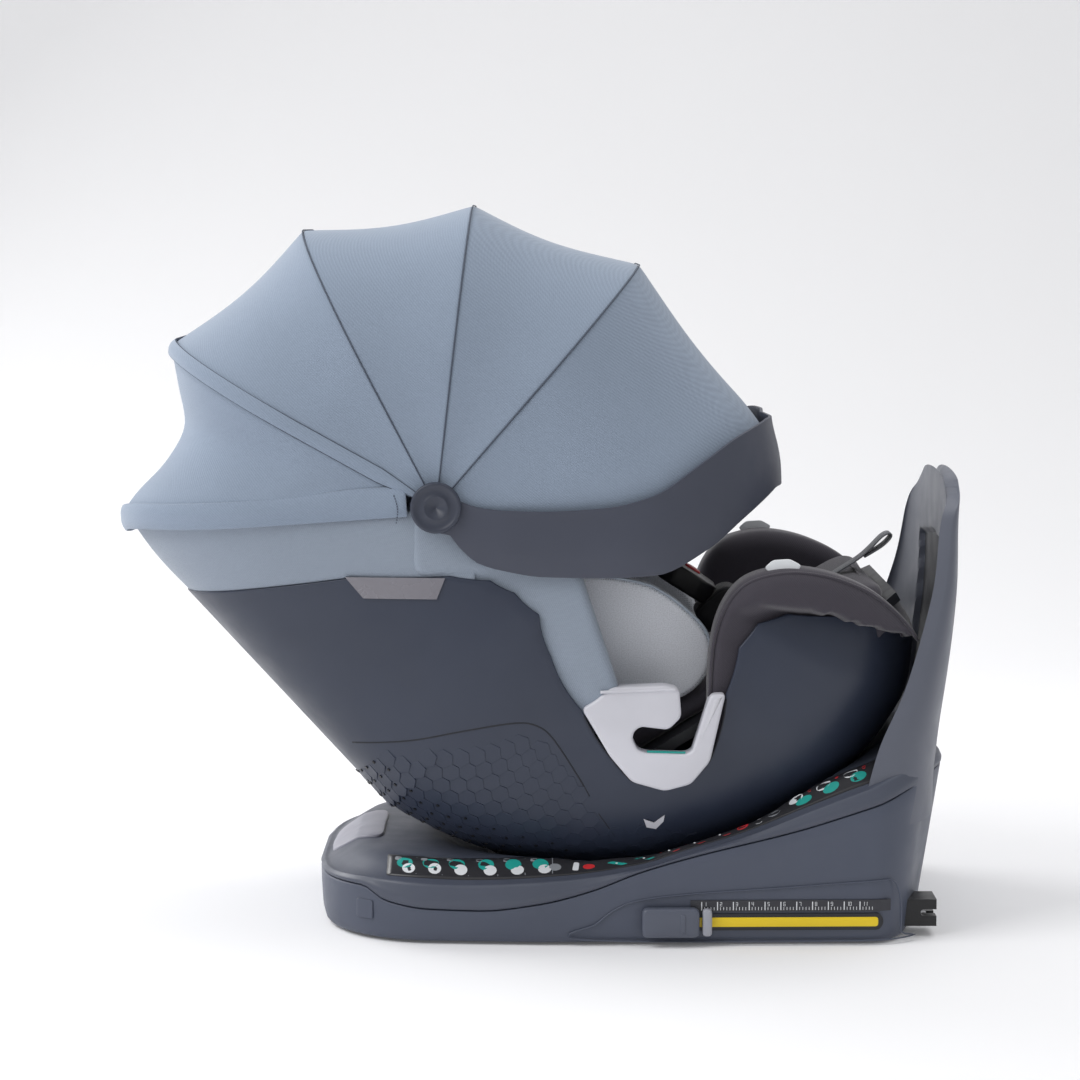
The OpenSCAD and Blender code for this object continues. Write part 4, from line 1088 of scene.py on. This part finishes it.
def make_harness():
    """Shoulder straps with their pads."""
    straps, pads = [], []
    line = spline([[240, 42.5], [215, 43], [180, 45], [150, 45], [128, 43]], 40)
    for s, _ in SIDES:
        y = s * 52
        route = [back_place(a, b, y) for a, b in line]
        straps.append(band(f"strap_{s}", route, 38, 2, strap_web))
        pads.append(cushion(f"shoulder_pad_{s}", back_place, 132, 224, 44.5, 50, 25, side_knit, 3, 12, 4, y))
    finish_piece(join("shoulder_straps_web", straps), "seat", "webbing", ["shoulder_straps"])
    pad = join("shoulder_pad_pair", pads)
    finish_pad(pad, "seat", "grey_fabric", ["shoulder_pads"])


BUCKLE_AT = np.array([112.0, -74.0])
BUCKLE_DIR = 148


def buckle_place(u, v, w):
    """u along the buckle, v across it, w out of its face."""
    c, q = math.cos(math.radians(BUCKLE_DIR)), math.sin(math.radians(BUCKLE_DIR))
    return (BUCKLE_AT[0] + u * c - w * q, v, BUCKLE_AT[1] + u * q + w * c + PIVOT[2])


def make_buckle():
    """Buckle with its red button, and the crotch pad behind it."""
    corners = [[0, -22], [12, -31], [46, -31], [58, -24], [58, 24], [46, 31], [12, 31], [0, 22]]
    outline = rounded(corners, 8, 5)
    body = slab("buckle_shell", outline, 10.8, -10.8, buckle_place, black_plastic, 3, 3, 1.2, steps=5)
    finish_piece(body, "seat", "dark_plastic", ["buckle_body"])
    press = rounded([[20, -9], [38, -9], [38, 9], [20, 9]], 6, 5)
    button = slab("buckle_press_face", press, -8, -13.8, buckle_place, red_print, 0.5, 1.5, 0.8)
    finish_piece(button, "buckle_press", "red", ["buckle_button"])
    pad_line = [
        [96, -92], [112, -72], [126, -64], [138, -68], [148, -92], [154, -126], [150, -150], [136, -150],
        [122, -122],
    ]
    pad = slab("crotch_cushion", spline(pad_line, 80, True), -26, 26, side_place(1), strap_web,
               7, 7, 2, steps=5)
    finish_pad(pad, "seat", "webbing", ["crotch_pad"])


def make_front():
    """Strap loop at the foot end, and the dark cover that wraps the shell's end."""
    loop = [
        [300, 29.6], [318, 30], [336, 30.5], [350, 33], [366, 37], [374, 36], [373, 32], [362, 29],
        [348, 28.6], [340, 28.8],
    ]
    piece = band("adjuster_loop", [seat_place(a, b, 0) for a, b in spline(loop, 70)], 25, 1.6, loop_web)
    finish_piece(piece, "seat", "loop_webbing", ["adjuster_strap"])
    rows = []
    for u in np.linspace(0, 1, 14):
        row = []
        for y in np.linspace(-1, 1, 41):
            half = 168 - 30 * u
            top = np.array(seat_place(326 - 22 * abs(y) ** 3, 24 - 10 * abs(y) ** 2, 0))
            low = shell_point(FOOT_A + 0.2, 90 + 30 * y)
            bulge = 12 * math.sin(math.pi * u)
            x = top[0] * (1 - u) + (low[0] + 2) * u + bulge
            z = top[2] * (1 - u) + (low[2] - 4) * u
            row.append((x, half * y, z))
        rows.append(row)
    apron = grid_object("front_cover", rows, dark_knit)
    thicken(apron, 2.2)
    subdivide(apron)
    finish_piece(apron, "seat", "seat_fabric")


def make_tag():
    """Small blank tag sewn to the bolster."""
    outline = rounded([[152, -29], [160, -22], [176, -21], [187, -27], [180, -36], [160, -37]], 3, 4)
    for s, side in SIDES:
        tag = slab(f"tag_{side}", outline + [0, 3], 186, 189, side_place(s), white_print, 0.4, 0.8)
        finish_piece(tag, "seat", "label")


# ---------- hood ----------
def hood_row(length, off, n, side_sag=0.0, start=19.0):
    """Reach and y along the hood's section, from the -Y hub round to the +Y hub."""
    top = length + off
    row = bow_section(top, BOW_CORNER + off, BOW_Y + off, start, n)
    if side_sag:
        near = np.clip(row[:, 0] / top, 0, 1)
        row[:, 1] -= np.sign(row[:, 1]) * side_sag * np.sin(np.pi * near) * (np.abs(row[:, 1]) > 20)
    return row


def hub_point(reach, y, angle):
    """Point at a reach from the hub, turned by an angle about the hub's axis."""
    a = np.radians(angle)
    return np.stack(np.broadcast_arrays(HUB[0] - reach * np.cos(a), y, HUB[2] + reach * np.sin(a)), -1)


def chord(a0, l0, a1, l1, t):
    """Reach at share t of the straight line between two bows' ends."""
    a = a0 + (a1 - a0) * t
    w = math.sin(math.radians(a1 - a0))
    return w * l0 * l1 / (l0 * math.sin(math.radians(a - a0)) + l1 * math.sin(math.radians(a1 - a)))


def visor_top(reach):
    """Height of the visor's upper edge above the hub."""
    return lookup(reach, [[p[0], p[1]] for p in VISOR_LINE])


REAR_DIP = [[0, 0], [0.08, -5], [0.27, -24], [0.53, -33], [0.8, -16], [1, 0]]
SAG = 8.0
HEM_H = 13.0
FABRIC = 0.8        # the cloth lies this far outside the bows' reach


def panel_rows(i, n_rows=15, n_cols=121):
    """Points and angles of the panel between bow i and the next, or the visor."""
    a0, l0 = BOW_ANGLE[i], BOW_LEN[i]
    last = i == 4
    a1, l1 = (164, 321) if last else (BOW_ANGLE[i + 1], BOW_LEN[i + 1])
    rows = []
    for k in range(n_rows):
        t = k / (n_rows - 1)
        length = chord(a0, l0, a1, l1, t)
        length += float(smooth_lookup(t, REAR_DIP)) if i == 0 else -SAG * math.sin(math.pi * t)
        tuck = 2.6 * smoothstep(0.86, 1, t) if last else 0
        flat = hood_row(length, FABRIC - tuck, n_cols, 3.0 * math.sin(math.pi * t))
        reach, y = flat[:, 0], flat[:, 1]
        rise = HEM_H * 0.6 + hem_bow(n_cols)
        low = a0 + (np.degrees(np.arctan(rise / np.maximum(reach, 20))) if i == 0 else 0)
        high = 180 - np.degrees(np.arctan((visor_top(reach) - 7) / reach)) if last else a1
        rows.append(hub_point(reach, y, low + (high - low) * t))
    return np.array(rows)


def fan_blend(obj):
    """Moves each point to its angle about the hub, bakes the object's transform, then puts the points back.
    """
    rest = [v.co.copy() for v in obj.data.vertices]
    for v in obj.data.vertices:
        d = v.co - Vector(HUB * MM)
        a = math.degrees(math.atan2(d.z, -d.x))
        v.co = (a + 360 if a < -90 else a, 0, 0)
    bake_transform(obj)
    for v, co in zip(obj.data.vertices, rest):
        v.co = co


def make_bow_wires():
    """The wire of each bow, inside the cloth."""
    for i in (1, 2, 3, 4):
        flat = hood_row(BOW_LEN[i] - 2.4, 0, 121, start=12)
        line = hub_point(flat[:, 0], flat[:, 1] * 0.988, BOW_ANGLE[i])
        wire = tube(f"bow_wire_{i}", line, 1.5, dark_steel)
        finish_piece(wire, f"hood_bow_{i}", "steel", [f"bow_{i}"])


def make_panels():
    """The five cloth panels, each blended from one bow to the next."""
    for i in range(5):
        rows = panel_rows(i)
        panel = grid_object(f"canopy_{i + 1}", rows, canopy_knit)
        thicken(panel, 1.0)
        subdivide(panel)
        fan_blend(panel)
        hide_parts(f"hood_panel_{i + 1}")


def channel_shift(reach, gap):
    """Angle about the hub that sets a line gap millimetres beside a bow."""
    return np.degrees(np.arctan(gap / np.maximum(reach, 60)))


def make_rib_channel():
    """The first bow's channel: a swelled strip of cloth between two seams."""
    half = 7
    flat = hood_row(BOW_LEN[1], FABRIC + 0.4, 121)
    for k, gap in enumerate((-half, half)):
        angle = BOW_ANGLE[1] + channel_shift(flat[:, 0], gap)
        line = hub_point(flat[:, 0] - 1.2, flat[:, 1] * 0.997, angle)
        seam = tube(f"rib_seam_1_{k}", line, 0.55, thread, sides=6)
        finish_piece(seam, "hood_bow_1", "grey_fabric")
    rows = []
    for gap in np.linspace(-half, half, 9):
        out = 2.2 * math.cos(gap / half * math.pi / 2)
        raised = hood_row(BOW_LEN[1], FABRIC + out, 121)
        rows.append(hub_point(raised[:, 0], raised[:, 1], BOW_ANGLE[1] + channel_shift(flat[:, 0], gap)))
    channel = grid_object("rib_channel", rows, canopy_knit)
    subdivide(channel)
    finish_piece(channel, "hood_bow_1", "grey_fabric")


def make_rib_seams():
    """One raised seam over each of the other bows."""
    for i in (2, 3, 4):
        flat = hood_row(BOW_LEN[i], FABRIC + 0.4, 121)
        seam = tube(f"rib_seam_{i}", hub_point(flat[:, 0], flat[:, 1], BOW_ANGLE[i]), 0.7, thread, sides=6)
        finish_piece(seam, f"hood_bow_{i}", "grey_fabric")


def make_hood():
    """Wires, cloth panels and seams of the hood."""
    make_bow_wires()
    make_panels()
    make_rib_channel()
    make_rib_seams()


def make_hem():
    """Soft band of the rear hem, taller near the hubs, with its stitched ends."""
    n = 181
    near = np.abs(np.linspace(-1, 1, n))
    rows = []
    for k in np.linspace(-1, 1, 15):
        tall = HEM_H + 5.0 * smoothstep(0.72, 0.9, near)
        lift = k * np.where(k > 0, tall, HEM_H + 1.0)
        proud = 4.2 * (1 - abs(k) ** 3) + 0.8
        rows.append(hem_path(n, proud, lift, start=27.0, back=1.0))
    rows.append(hem_path(n, -1.0, -HEM_H - 0.4, start=27.0, back=-2.0))
    band_piece = grid_object("rear_hem", rows, canopy_knit)
    thicken(band_piece, 1.2)
    subdivide(band_piece)
    finish_piece(band_piece, "seat", "grey_fabric", ["rear_bow"])
    tilt = math.radians(BOW_ANGLE[0])
    for s, side in SIDES:
        dashes = []
        for k in range(11):
            v = -12 + 2.5 * k
            reach = 36 + 0.014 * v * v
            ends = []
            for d in (-0.8, 0.8):
                x = HUB[0] - reach * math.cos(tilt) + (v + d) * math.sin(tilt)
                z = HUB[2] + reach * math.sin(tilt) + (v + d) * math.cos(tilt)
                ends.append((x, s * (BOW_Y - 2 + 5.2), z))
            dashes.append(tube(f"dash_{k}", ends, 0.45, thread, sides=6))
        finish_piece(join(f"hem_stitches_{side}", dashes), "seat", "grey_fabric")


def visor_plan(q, s, grow):
    """Plan of the visor's band at distance q from the hub, on side s."""
    front = VISOR_LINE[-1][0] + 20
    leg = front - VISOR_R - 10
    corner = math.pi / 2 * VISOR_R
    k = (q - leg) / corner * math.pi / 2
    if q <= leg:
        return 10 + q, s * (VISOR_Y + grow)
    if k <= math.pi / 2:
        turn = VISOR_R + grow
        return 10 + leg + turn * math.sin(k), s * (VISOR_Y - VISOR_R + turn * math.cos(k))
    return 10 + leg + VISOR_R + grow, s * (VISOR_Y - VISOR_R - (q - leg - corner))


def visor_rows(offset, levels, n=60):
    """Rows of the visor's band from hub to hub; a level is 0 at its lower edge and 1 at its upper."""
    half = VISOR_LINE[-1][0] + 20 - VISOR_R - 10 + math.pi / 2 * VISOR_R + VISOR_Y - VISOR_R
    stops = [(-1, q) for q in np.linspace(-22, half, n)] + [(1, q) for q in np.linspace(half, -22, n)[1:]]
    columns = []
    for s, q in stops:
        qq = max(q, 0)
        share = qq / half
        x0 = visor_plan(qq, s, 0)[0] - 14 * share
        top, low = smooth_lookup(x0, VISOR_LINE, 1), smooth_lookup(x0, VISOR_LINE, 2)
        if q < 6:
            wrap = math.sqrt(max(0.0, 1 - ((6 - q) / 29) ** 2))
            top, low = (top + 2) * wrap + 2 * (wrap - 1), (low + 4) * wrap - 4 * (1 - wrap)
        column = []
        for v in levels:
            bulge = 2.4 * math.sin(math.pi * min(1, v * 1.2)) * min(1, max(0, q) / 60)
            x, y = visor_plan(q if q > 0 else 0, s, offset + bulge * (0.6 if offset < 0 else 1))
            x += min(q, 0)
            lean = 18 * share**2 * v + 4 * share**2 * (1 - v)
            column.append((HUB[0] + x - lean, y, HUB[2] + low + (top - low) * v))
        columns.append(column)
    return np.array(columns).transpose(1, 0, 2)


def make_visor():
    """Stiff band at the hood's front edge."""
    levels = [0, 0.03, 0.1, 0.2, 0.29, 0.31, 0.33, 0.45, 0.6, 0.75, 0.88, 0.97, 1]
    outer = visor_rows(0, levels)
    inner = visor_rows(-3.0, levels[::-1])
    visor = grid_object("visor_band", np.vstack([outer, inner]), visor_plastic, wrap_rows=True)
    soften(visor, 0.8, 2, 50)
    finish_piece(visor, "hood_visor", "visor_plastic", ["visor"])


def make_caps():
    """Hub caps: a shallow dished disc with a raised ring."""
    profile = [
        [0.01, 9.2], [9.5, 9.2], [10.2, 10.0], [11.6, 10.0], [12.3, 9.2], [18.5, 9.2], [20, 10.4],
        [22, 11.2], [23.2, 10.6], [23.8, 9.2], [23.9, 5.4],
    ]
    for s, side in SIDES:
        rings = []
        for r, h in profile:
            rings.append([(HUB[0] + r * math.cos(k), s * (HALF_W + h), HUB[2] + r * math.sin(k))
                          for k in np.linspace(0, 2 * math.pi, 72, endpoint=False)])
        cap = grid_object(f"hub_cap_{side}", rings, cap_plastic, wrap_cols=True)
        thicken(cap, 0.8)
        finish_piece(cap, "seat", "visor_plastic", ["hub_caps"])


# ---------- base ----------
COVER_TREE = []


def base_outline(n=220):
    """Plan outline of the base: the hull of its corner circles."""
    half, nose, rear = 200, 276, 345
    circles = []
    for s, _ in SIDES:
        circles += [
            (-nose + 120, s * (half - 122), 116), (-nose + 84, s * 50, 84), (-60, s * (half - 60), 60),
            (rear - 95, s * (half - 75), 70), (rear - 110, s * 60, 110),
        ]
    points = []
    for k in np.linspace(0, 2 * math.pi, 1440, endpoint=False):
        u = np.array([math.cos(k), math.sin(k)])
        best = max(circles, key=lambda c: c[0] * u[0] + c[1] * u[1] + c[2])
        points.append([best[0] + best[2] * u[0], best[1] + best[2] * u[1]])
    return resample(np.array(points), n, True)


def rim_z(x):
    """Height of the cover's rim."""
    return smooth_lookup(x, RIM_LINE)


def split_z(x):
    """Height of the line between tray and cover."""
    return smooth_lookup(x, SPLIT_LINE)


def dish_z(x, y):
    """Height of the dish that the shell turns in."""
    r2 = np.minimum(x * x + y * y, 350.0**2)
    return PIVOT[2] - np.sqrt(DISH_R**2 - r2)


def soft_min(a, b, k=1.6):
    """The smaller of two values, with a rounded change-over."""
    h = np.clip(0.5 + 0.5 * (b - a) / k, 0, 1)
    return b * (1 - h) + a * h - k * h * (1 - h)


def top_z(x, y, inset):
    """Height of the cover's top: it rises a little inwards from the rim, then drops into the dish."""
    return soft_min(rim_z(x) + 0.55 * np.clip(inset - 10, 0, 30), dish_z(x, y))


def make_base():
    """Tray and cover of the base."""
    outline = base_outline()
    nrm = normals_2d(outline)

    def lean(p, z):
        """The rear wall leans in towards the floor."""
        back = np.clip((p[:, 0] - 262) / 83, 0, 1)
        x = p[:, 0] - back * (8 + 25 * (1 - np.broadcast_to(z, len(p)) / 160))
        return np.column_stack([x, p[:, 1], np.broadcast_to(z, len(p))])

    def ring(inset, z):
        return lean(outline - nrm * inset, z)

    x = outline[:, 0]
    split, rim = split_z(x), rim_z(x)
    tray_rows = [ring(30, 2.5), ring(8, 2.5), ring(5.5, 3.2), ring(3.4, 5.5), ring(2.4, 9)]
    for k in np.linspace(0.15, 1, 9):
        tray_rows.append(ring(2.2 - 1.6 * math.sin(math.pi * k * 0.5), 9 + (split - 1.6 - 9) * k))
    tray_rows += [ring(1.2, split - 0.5), ring(3.0, split - 0.2), ring(8, split - 0.2)]
    tray = grid_object("tray_shell", tray_rows, base_plastic, wrap_cols=True)
    thicken(tray, 2.4)
    finish_piece(tray, "base", "base_plastic", ["base_tray"])
    cover_rows = [ring(8, split + 0.5), ring(2.4, split + 0.5)]
    cover_rows += [ring(1.0, split + 1.0), ring(0.2, split + 2.6)]
    tall = rim - split
    for k, inset in ((0.3, 0.4), (0.5, 1.6), (0.68, 2.8), (0.82, 3.4), (0.92, 4.4)):
        cover_rows.append(ring(inset, split + 2.6 + (tall - 2.6) * k))
    cover_rows += [ring(6.2, rim - 0.5), ring(8.6, rim)]
    centre_pull = np.concatenate([[0.03, 0.06, 0.1, 0.14], np.linspace(0.18, 0.97, 34)])
    start = outline - nrm * 8.6
    for k in centre_pull:
        p = start * (1 - k) + np.array([10.0, 0.0]) * k
        inset = 8.6 + np.linalg.norm(start - p, axis=1)
        cover_rows.append(lean(p, top_z(p[:, 0], p[:, 1], inset)))
    cover = grid_object("cover_shell", cover_rows, cover_plastic, wrap_cols=True)
    bm = bmesh.new()
    bm.from_mesh(cover.data)
    COVER_TREE.append(BVHTree.FromBMesh(bm))
    bm.free()
    thicken(cover, 2.0)
    finish_piece(cover, "base", "base_cover_plastic", ["base_cover"])


def make_front_pad():
    """Light press pad on the nose."""
    outline = spline([[-262, -46], [-266, -20], [-267, 0], [-266, 20], [-262, 46], [-240, 58], [-216, 60],
                      [-214, 0], [-216, -60], [-240, -58]], 80, True)

    def place(u, v, w):
        return (u, v, cover_z(u, v) + w)

    pad = slab("nose_pad", outline, -1.5, 2.2, place, pad_plastic, 0.4, 1.4, 0.3)
    finish_piece(pad, "swivel_pad", "silver_plastic", ["swivel_button"])


BAR_EDGE_X = [[100, 240], [138, 249], [185, 262], [241, 287], [300, 306], [343, 317], [410, 326], [436, 334],
              [444, 337]]
BAR_EDGE_Y = [[100, 190], [138, 186], [185, 182], [241, 174], [300, 162], [343, 150], [400, 128], [430, 108],
              [444, 84]]
BAR_BACK, BAR_TOP = box_mm("rebound_bar")[1][0], box_mm("rebound_bar")[1][2]


def bar_inner(z, k):
    """Inner face of the rebound bar: k runs across it from -1 to 1."""
    back = BAR_BACK - 14
    ex, ey = float(smooth_lookup(z, BAR_EDGE_X)), float(smooth_lookup(z, BAR_EDGE_Y))
    y = ey * math.sin(k * 1.508) / math.sin(1.508)
    back -= 18 * (1 - float(smoothstep(120, 350, z)))
    x = back - (back - ex) * abs(k) ** 2.6 * (0.4 + 0.6 * float(smoothstep(444, 380, z)))
    return x, y


def bar_pocket(y, z):
    """How deep the pocket is here, from 0 to 1."""
    sides = 1 - smoothstep(84, 89, abs(y))
    return float(sides * smoothstep(140, 150, z) * (1 - smoothstep(372, 380, z + abs(y) * 0.1)))


def make_bar():
    """Rebound bar: a curved upright with rounded edges and a pocket in its inner face, lined with a dark
    sheet of painted shade.
    """
    across = np.linspace(-1, 1, 91)
    inner, outer = [], []
    for z in np.concatenate([np.linspace(112, 405, 80), np.linspace(409, BAR_TOP - 1, 14)]):
        near, far = [], []
        for k in across:
            x, y = bar_inner(z, k)
            top = z - float(smoothstep(396, BAR_TOP, z)) * (3 + 14 * abs(k) ** 2)
            near.append((x + 6.5 * bar_pocket(y, z), y, top))
            far.append((x + 14 * (1 - abs(k) ** 8 * 0.25), y, top))
        inner.append(near)
        outer.append(far[::-1])
    faces = np.concatenate([inner, outer], axis=1)
    bar = grid_object("bar_shell", faces, bar_plastic, wrap_cols=True, caps=True)
    soften(bar, 4.5, 4, 40)
    finish_piece(bar, "base", "base_cover_plastic", ["rebound_bar"])
    # dark sheet in the pocket: painted shade of the recess
    rows = []
    for z in np.linspace(149, 374, 50):
        row = []
        for k in np.linspace(-0.46, 0.46, 41):
            x, y = bar_inner(z, k)
            row.append((x + 5.9, y, z))
        rows.append(row)
    shade_sheet = grid_object("bar_pocket_shade", rows, pocket_shade_plastic)
    thicken(shade_sheet, 0.8, 0)
    finish_piece(shade_sheet, "base", "dark_plastic", ["bar_inset"])


# ---------- printed strips, ruler and slider ----------
def strip_point(x, inset, s):
    """Point on the cover's top at a given x, inset from the side outline."""
    y = s * (float(OUTLINE_Y(x)) - inset)
    return (x, y, cover_z(x, y) + 0.3)


def cover_z(x, y):
    """Height of the cover's own mesh at a place in plan."""
    hit = COVER_TREE[0].ray_cast(Vector((x, y, 400)) * MM, Vector((0, 0, -1)))
    return hit[0].z / MM


def outline_y_function():
    """|y| of the base's outline as a function of x."""
    p = base_outline(900)
    near = p[p[:, 1] > 0]
    order = np.argsort(near[:, 0])
    xs, ys = near[order, 0], near[order, 1]
    return lambda x: np.interp(x, xs, ys)


OUTLINE_Y = outline_y_function()


def strip_inset(x, k):
    """Inset of the printed strip: k is 0 at its outer edge and 1 at its inner edge."""
    inner = np.interp(x, [-205, -60, 0, 130, 190, 262], [44, 42, 28, 26, 34, 44])
    return 13 + (float(inner) - 13) * k


def patch(name, points, material, s):
    """Small flat shape printed on the cover: points are (x, inset)."""
    p = rounded([(x, strip_inset(x, (m - 12) / 23)) for x, m in points], 1.5, 3)
    verts = [np.array(strip_point(x, m, s)) for x, m in p]
    n = len(verts)
    top = [v + [0, 0, 0.35] for v in verts]
    faces = [(i, (i + 1) % n, n + (i + 1) % n, n + i) for i in range(n)] + [tuple(range(n, 2 * n))]
    return add_mesh(name, verts + top, faces, material, smooth=False)


def make_label_strips():
    """Instruction strips on the cover, with plain coloured shapes."""
    for s, side in SIDES:
        rows = []
        for k in np.linspace(0, 1, 10):
            rows.append([strip_point(x, strip_inset(x, k), s) for x in np.linspace(-205, 262, 90)])
        strip = grid_object(f"print_strip_{side}", rows, label_film)
        thicken(strip, 0.4, 0)
        finish_piece(strip, "base", "label", ["label_strips"] if s < 0 else ())
        marks = {"white": [], "grey": [], "teal": [], "red": []}
        paints = {"white": white_print, "grey": grey_print, "teal": teal_print, "red": red_print}

        def mark(kind, points):
            marks[kind].append(patch(f"mark_{kind}", points, paints[kind], s))

        def blob(kind, x, m, w, h, n=10):
            mark(kind, [[x + w * math.cos(k), m + h * math.sin(k)]
                        for k in np.linspace(0, 2 * math.pi, n, endpoint=False)])

        for x in (-190, -165, -140, -112, -86, -60):
            blob("teal", x + 2, 25, 8, 5)
            blob("white", x + 6, 20, 6.5, 4.5)
            mark("grey", [[x - 8, 28], [x - 2, 27], [x - 1, 31], [x - 7, 31.5]])
            mark("grey", [[x + 13, 15], [x + 13.8, 15], [x + 13.8, 32], [x + 13, 32]])
        blob("grey", -44, 22, 6, 4)
        mark("white", [[-28, 18], [-22, 17], [-21, 28], [-26, 29]])
        blob("red", -12, 22, 6, 4)
        for x, kind in ((14, "teal"), (40, "teal"), (64, "red"), (88, "red"), (112, "red")):
            mark(kind, [[x - 9, 26], [x + 5, 17], [x + 11, 18], [x - 3, 28]])
            mark("white", [[x - 1, 22], [x + 1, 21], [x + 1.6, 23], [x - 0.4, 24]])
        blob("red", 134, 22, 5.5, 4)
        mark("white", [[146, 17], [152, 16], [153, 28], [148, 29]])
        blob("grey", 164, 22, 6, 4.5)
        for x in (188, 214, 240):
            blob("teal", x + 4, 20, 8, 4)
            blob("white", x - 3, 25, 7, 4)
            mark("red", [[x + 8, 26], [x + 11, 25], [x + 12, 29], [x + 9, 29.5]])
        for kind, parts in marks.items():
            if parts:
                finish_piece(join(f"marks_{kind}_{side}", parts), "base", "label")


DIGITS = {"0": "abcdef", "1": "bc", "2": "abged", "3": "abgcd", "4": "fgbc", "5": "afgcd", "6": "afgedc",
          "7": "abc", "8": "abcdefg", "9": "abcdfg"}
SEGMENTS = {"a": (0, 2, 1, 2), "b": (1, 1, 1, 2), "c": (1, 0, 1, 1), "d": (0, 0, 1, 0), "e": (0, 0, 0, 1),
            "f": (0, 1, 0, 2), "g": (0, 1, 1, 1)}


def wall_box(x0, x1, z0, z1, s, lift, depth=0.5):
    """Thin block on the base's side wall."""
    verts = []
    for d in (lift, lift - depth):
        for x, z in ((x0, z0), (x1, z0), (x1, z1), (x0, z1)):
            verts.append((x, s * (float(OUTLINE_Y(x)) + d), z))
    return verts, [(0, 1, 2, 3), (7, 6, 5, 4), (0, 4, 5, 1), (1, 5, 6, 2), (2, 6, 7, 3), (3, 7, 4, 0)]


def boxes(name, blocks, material):
    """One mesh of several blocks."""
    verts, faces = [], []
    for v, f in blocks:
        faces += [tuple(i + len(verts) for i in face) for face in f]
        verts += v
    return add_mesh(name, verts, faces, material, smooth=False)


def make_ruler():
    """Scale beside the slider: ticks and the numbers 1 to 11."""
    for s, side in SIDES:
        strips = [wall_box(x, x + 9.5, 33, 44, s, 0.15, 1.6) for x in np.arange(84, 274, 9.5)]
        film = boxes(f"ruler_film_{side}", strips, ruler_film)
        finish_piece(film, "base", "label", ["rulers"] if s < 0 else ())
        marks = []
        step = 15.0
        for k in range(11):
            x = 94 + step * k
            marks.append(wall_box(x, x + 0.9, 34.5, 42.5, s, 0.35))
            for j in range(1, 5):
                marks.append(wall_box(x + j * step / 5, x + j * step / 5 + 0.5, 34.5, 37.5, s, 0.35))
            for c, digit in enumerate(str(k + 1)):
                for seg in DIGITS[digit]:
                    x0, z0, x1, z1 = SEGMENTS[seg]
                    left, low = x + 3.0 + c * 2.6, 38.6
                    marks.append(wall_box(left + x0 * 1.6 - 0.2, left + x1 * 1.6 + 0.2,
                                          low + z0 * 1.7 - 0.2, low + z1 * 1.7 + 0.2, s, 0.35))
        finish_piece(boxes(f"ruler_marks_{side}", marks, white_print), "base", "label")


def wall_place(s):
    """Places points of the side view on the base's side wall, w millimetres proud of it."""
    return lambda u, v, w: (u, s * (float(OUTLINE_Y(u)) + w), v)


def make_slider():
    """Slider slot in the side wall, shown as a dark sheet of painted shade, with its grip, end button and
    the square plug.
    """
    slot = rounded([[60, 15], [264, 15], [268, 23], [264, 31], [60, 31]], 5, 5)
    recess = spline([[-14, 6], [-4, 22], [14, 36], [36, 44], [85, 50], [160, 55], [262, 62], [278, 60],
                     [284, 40], [284, 12], [276, 5]], 120, True)
    for s, side in SIDES:
        edge = [wall_place(s)(x, z, -0.2) for x, z in recess]
        line = tube(f"recess_edge_{side}", edge, 0.8, base_plastic, closed=True)
        finish_piece(line, "base", "base_plastic")
        # dark sheet round the yellow strip: painted shade of the slot
        shade_sheet = slab(f"slot_shade_{side}", slot, -1.0, 0.5, wall_place(s), dark_plastic, 0.2, 0.4)
        finish_piece(shade_sheet, "base", "dark_plastic")
        yellow = rounded([[62, 18.5], [262, 18.5], [262, 27.5], [62, 27.5]], 3, 4)
        strip = slab(f"slot_yellow_{side}", yellow, 0.2, 0.9, wall_place(s), yellow_film, 0.1, 0.2)
        finish_piece(strip, "base", "yellow", ["slot_strips"] if s < 0 else ())
        knob = rounded([[38, 10], [92, 10], [92, 38], [38, 38]], 6, 6)
        body = slab(f"slider_grip_{side}", knob, 1.6, 11, wall_place(s), knob_plastic, 1, 3, 0.8, steps=5)
        finish_piece(body, "anchor_slider", "base_plastic", ["slider_knobs"])
        ridge = rounded([[74, 15], [79, 15], [79, 33], [74, 33]], 2, 4)
        groove = slab(f"grip_ridge_{side}", ridge, 10, 12.2, wall_place(s), knob_plastic, 0.4, 0.8)
        finish_piece(groove, "anchor_slider", "base_plastic")
        end = rounded([[95, 11], [104, 11], [104, 37], [95, 37]], 4, 5)
        press = slab(f"slider_end_{side}", end, 1.6, 9.2, wall_place(s), knob_end, 1, 2, 0.4, steps=5)
        finish_piece(press, "slider_press", "silver_plastic", ["knob_buttons"])
        plug = rounded([[-234, 21], [-218, 21], [-218, 39], [-234, 39]], 2, 4)
        square = slab(f"side_plug_{side}", plug, -1.5, 0.4, wall_place(s), base_plastic, 0.3, 0.6)
        finish_piece(square, "base", "base_plastic", ["plugs"])


def paint_cad_nodes():
    """Materials of the CAD nodes that are shown as they are."""
    paint(teal_print, "belt_lines")
    paint(badge_plastic, "side_plates")
    paint(light_plastic, "recline_pointers")
    paint(frame_steel, "base_frame", "bearing_ring", "base_screws", "hub_nut", "recline_rails",
          "anchor_arms", "anchor_hooks", "lock_pin", "buckle_tongues")
    paint(rubber, "rubber_feet")
    paint(dark_plastic, "turntable", "recline_carriage", "seat_bucket", "headrest_shell", "hood_brackets")
    paint(black_plastic, "arm_housings")
    paint(green_plastic, "hook_releases")
    paint(pad_plastic, "adjuster_button", "recline_lever", "headrest_lever")


make_stage()
make_shell()
make_shell_lines()
make_honeycomb()
make_guides()
make_side_cover()
make_wings()
make_bolsters()
make_cushions()
make_insert()
make_harness()
make_buckle()
make_front()
make_tag()
make_hood()
make_hem()
make_visor()
make_caps()
make_base()
make_front_pad()
make_bar()
make_label_strips()
make_ruler()
make_slider()
paint_cad_nodes()
